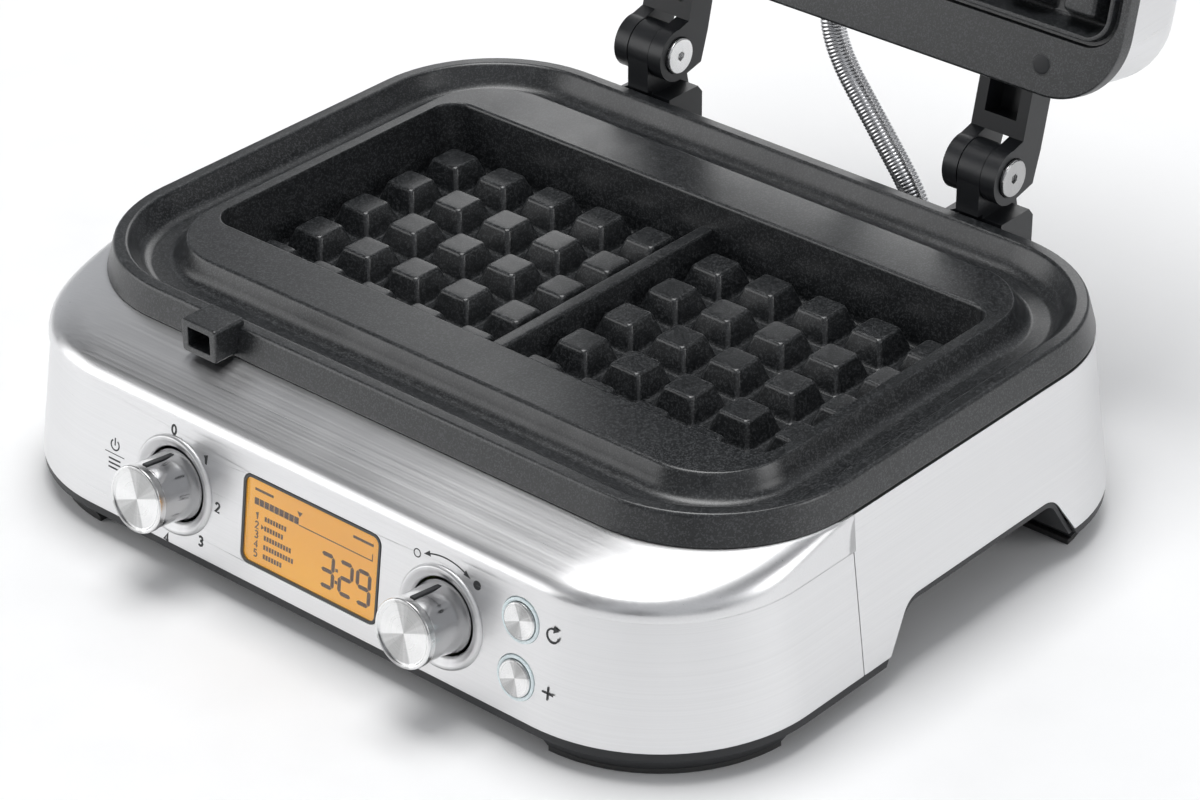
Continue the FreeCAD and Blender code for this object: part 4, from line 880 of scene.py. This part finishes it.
def display():
    low, high = node_box("display_lens")
    x, s = on_panel_centre("display_lens")
    half_x = (high.x - low.x) / 2
    half_y = half_x * DISPLAY_SHAPE
    centre = Matrix.Translation((x, s, 0))

    def layer(name, finish, levels, steps, **caps):
        """A flat body of (inset, corner radius, height, cut) levels about the display's middle."""
        corners = [(half_x - inset, half_y - inset, r, z, cut) for inset, r, z, cut in levels]
        b = Build().tray(rounded(corners, steps), 8, centre, **caps).moved(Matrix.Scale(MM, 4))
        return b.made(name, finish, panel_matrix(0), DISPLAY_SHARP)

    bezel = layer("display_frame", "frame_grey", [(-0.85, 3.4, -2.6, 0), (-0.85, 3.4, 0.08, 0.25),
                                                  (0.1, 2.5, 0.08, 0.25), (0.1, 2.5, -2.6, 0)], 3, loop=True)
    place(weigh(bezel), "base", "black_plastic", "display_bezel")
    face = layer("display_face", "lcd", [(0.1, 2.4, -2.2, 0), (0.1, 2.4, -1.25, 0.1), (3.0, 1.0, -1.24, 0)], 2,
                 cap_start=True, cap_end=True)
    place(face, "base", "lcd", "display_panel")
    glass = layer("display_glass", "lens", [(0.15, 2.4, -1.05, 0), (0.15, 2.4, -0.30, 0.15),
                                            (3.0, 1.0, -0.29, 0)], 2, cap_start=True, cap_end=True)
    place(glass, "base", "lens", "display_lens")
    m = Marks(-1.26, 0.06)

    def at(u, v):
        return x + (u - 0.5) * 2 * half_x, s + (0.5 - v) * 2 * half_y

    # seven-segment time, lower right
    wide, tall, bar = 5.2, 11.2, 1.45
    ends = {"a": ((0, 2), (1, 2)), "b": ((1, 2), (1, 1)), "c": ((1, 1), (1, 0)), "d": ((0, 0), (1, 0)),
            "e": ((0, 1), (0, 0)), "f": ((0, 2), (0, 1)), "g": ((0, 1), (1, 1))}
    for text, u in (("3", 0.58), ("2", 0.72), ("9", 0.85)):
        left, foot = at(u, 0.86)
        for key in SEGMENTS[text]:
            (ax, ay), (bx, by) = ends[key]
            p = Vector((left + ax * wide, foot + ay * tall / 2))
            q = Vector((left + bx * wide, foot + by * tall / 2))
            way = (q - p).normalized()
            side = Vector((-way.y, way.x)) * bar / 2
            p, q = p + way * 0.12, q - way * 0.12
            n = way * bar / 2
            m.patch([tuple(c) for c in (p, p + n - side, q - n - side, q, q - n + side, p + n + side)])
    for v in (0.62, 0.76):
        cx, cy = at(0.695, v)
        m.bar(cx - 0.55, cx + 0.55, cy - 0.55, cy + 0.55)
    # level bar with its pointer and its scale line, top left
    x0, y0 = at(0.06, 0.23)
    x1, y1 = at(0.40, 0.31)
    for k in range(9):
        step = (x1 - x0) / 9
        m.bar(x0 + step * k, x0 + step * (k + 0.88), y1, y0)
    m.patch([(x1 + 0.1, y0 + 0.5), (x1 + 1.3, y0 + 2.2), (x1 - 1.1, y0 + 2.2)])
    x2 = at(0.95, 0.31)[0]
    m.bar(x1, x2, y1 - 0.15, y1 + 0.2)
    m.bar(x2 - 0.35, x2, y1, y1 + 2.4)
    for u0, u1 in ((0.06, 0.20), (0.80, 0.95)):
        (left, foot), (right, head) = at(u0, 0.145), at(u1, 0.115)
        m.bar(left, right, foot, head)
    # list of five, with the second one picked
    for k, blocks in enumerate((8, 7, 10, 11, 7)):
        px, py = at(0.085, 0.435 + 0.112 * k)
        m.sign(px, py, 2.5, str(k + 1), 0.5)
        for j in range(blocks):
            m.bar(px + 3.4 + 1.25 * j, px + 4.3 + 1.25 * j, py - 0.85, py + 0.85)
    px, py = at(0.122, 0.435 + 0.112)
    m.patch([(px - 0.2, py - 0.9), (px + 1.1, py), (px - 0.2, py + 0.9)])
    m.made("display_segments", "lcd_ink", "lcd")


display()


# ---- ribbed steel conduit between the base and the lid ----
HOSE_RADIUS, RIB_DEPTH, RIB_PITCH = 4.48, 0.24, 1.3
RINGS_PER_RIB, HOSE_SIDES = 6, 32
HOSE_BEND = 21                           # how far each corner of its line is cut back


def conduit():
    low, high = node_box("conduit_base_ferrule")
    start = (low + high) / 2
    foot = Vector((start.x, start.y - centre_y, high.z - 1.6))
    low, high = node_box("conduit_lid_ferrule")
    far = (low + high) / 2
    far.y -= centre_y
    line = [foot + Vector((0, 0, -18)), foot + Vector((0, 0, 6)),
            Vector((far.x, hinge.y + 7.5, hinge.z + 24.9)), Vector((far.x, hinge.y + 12.9, hinge.z + 48.3))]
    cuts = (0, HOSE_BEND, HOSE_BEND, 0)
    soft = [Vector(p) for p in rounded([(*p, cut) for p, cut in zip(line, cuts)], 26)]
    lengths = [0.0]
    for p, q in zip(soft, soft[1:]):
        lengths.append(lengths[-1] + (q - p).length)
    count = int(lengths[-1] / RIB_PITCH) * RINGS_PER_RIB
    b = Build()
    rings = []
    j = 0
    side = Vector((0, 1, 0))
    for i in range(count + 1):
        run = lengths[-1] * i / count
        while j < len(lengths) - 2 and lengths[j + 1] < run:
            j += 1
        here = soft[j].lerp(soft[j + 1], (run - lengths[j]) / (lengths[j + 1] - lengths[j]))
        ahead = (soft[min(j + 2, len(soft) - 1)] - soft[max(j - 1, 0)]).normalized()
        side = (side - ahead * side.dot(ahead)).normalized()
        other = ahead.cross(side)
        phase = (i % RINGS_PER_RIB) / RINGS_PER_RIB
        r = HOSE_RADIUS - RIB_DEPTH * (1 - math.sin(math.pi * phase))
        rings.append([here + side * (r * math.cos(a)) + other * (r * math.sin(a))
                      for a in (2 * math.pi * k / HOSE_SIDES for k in range(HOSE_SIDES))])
    b.rings(rings, cap_start=True, cap_end=True).moved(TO_ROW)
    piece = b.made("conduit_hose", "hose_chrome", None, 80)
    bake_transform(piece)
    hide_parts("wiring_conduit")


conduit()


# ---- carried-over CAD nodes: finishes, and soft edges by modifier ----
EDGES = {"front_fascia": 0.25, "rear_wrap": 0.25, "hinge_bolts": 0.25, "lid_cover": 0.3, "cord_gland": 0.3,
         "handle_grip": 0.4, "side_grips": 0.4, "foot_pads": 0.4, "storage_latch": 0.4, "lid_frame": 0.4,
         "hinge_bracket_left": 0.6, "hinge_bracket_right": 0.6, "base_pan": 0.6,
         "hinge_arm_left": 0.7, "hinge_arm_right": 0.7,
         "handle_bracket_left": 0.8, "handle_bracket_right": 0.8, "rear_housing": 1.0}
OTHER_EDGES = 0.2
EDGE_ANGLE = 32
WELD_DISTANCE = 1e-6
slot_of = {part["node"]: part["material_slot"] for part in record["subparts"]}
for name, node in frame["nodes"].items():
    material = FINISHES[slot_of[name]]
    if node.material_slots:
        for entry in node.material_slots:
            entry.material = material
    else:
        node.data.materials.append(material)
    if node.hide_render:
        continue
    if "custom_normal" in node.data.attributes:
        node.data.attributes.remove(node.data.attributes["custom_normal"])
    node.data.polygons.foreach_set("use_smooth", [True] * len(node.data.polygons))
    weld = node.modifiers.new("weld", "WELD")
    weld.merge_threshold = WELD_DISTANCE
    soft = node.modifiers.new("edges", "BEVEL")
    soft.width = EDGES.get(name, OTHER_EDGES) * MM
    soft.segments = 2
    soft.limit_method = "ANGLE"
    soft.angle_limit = math.radians(EDGE_ANGLE)
    soft.use_clamp_overlap = True
    weigh(node)


# ---- floor and light ----
LAMP_TARGET = (0.0, 0.0, 0.10)


def floor():
    size, count, under = 6.0, 24, -0.0002
    row = count + 1
    points = [(size * (i / count - 0.5), size * (j / count - 0.5), under)
              for j in range(row) for i in range(row)]
    faces = [(j * row + i, j * row + i + 1, (j + 1) * row + i + 1, (j + 1) * row + i)
             for j in range(count) for i in range(count)]
    new_object("floor", points, faces, "floor")


def lamp(name, spot, size_x, size_y, power):
    data = bpy.data.lights.new(name, "AREA")
    data.shape = "RECTANGLE"
    data.size = size_x
    data.size_y = size_y
    data.energy = power
    light = bpy.data.objects.new(name, data)
    light.location = spot
    light.rotation_mode = "QUATERNION"
    light.rotation_quaternion = (Vector(spot) - Vector(LAMP_TARGET)).to_track_quat("Z", "Y")
    light.visible_camera = False
    bpy.context.scene.collection.objects.link(light)


def world():
    """A pale studio whose walls are lighter and darker by turns."""
    sky = bpy.data.worlds.new("studio")
    sky.use_nodes = True
    tree = sky.node_tree
    back = tree.nodes["Background"]
    back.inputs["Strength"].default_value = 1.0
    coords = tree.nodes.new("ShaderNodeTexCoord")
    mapping = tree.nodes.new("ShaderNodeMapping")
    mapping.inputs["Scale"].default_value = (1.0, 1.0, 0.35)
    noise = tree.nodes.new("ShaderNodeTexNoise")
    noise.inputs["Scale"].default_value = 1.9
    noise.inputs["Detail"].default_value = 1.0
    ramp = tree.nodes.new("ShaderNodeValToRGB")
    ramp.color_ramp.elements[0].position = 0.40
    ramp.color_ramp.elements[0].color = (0.06, 0.062, 0.066, 1)
    ramp.color_ramp.elements[1].position = 0.60
    ramp.color_ramp.elements[1].color = (0.52, 0.53, 0.55, 1)
    tree.links.new(coords.outputs["Generated"], mapping.inputs["Vector"])
    tree.links.new(mapping.outputs["Vector"], noise.inputs["Vector"])
    tree.links.new(noise.outputs["Fac"], ramp.inputs["Fac"])
    tree.links.new(ramp.outputs["Color"], back.inputs["Color"])
    bpy.context.scene.world = sky
    bpy.context.scene.view_settings.view_transform = "Standard"


floor()
world()
# name, place, width, height (metres) and power (watts)
lamp("top", (-0.15, 0.0, 1.7), 1.1, 0.9, 20)
lamp("key", (-1.7, -1.5, 0.75), 2.0, 1.4, 17)
lamp("side", (1.7, 0.5, 0.7), 0.7, 1.0, 6)
lamp("back", (-1.0, 1.6, 0.9), 1.0, 0.6, 5)
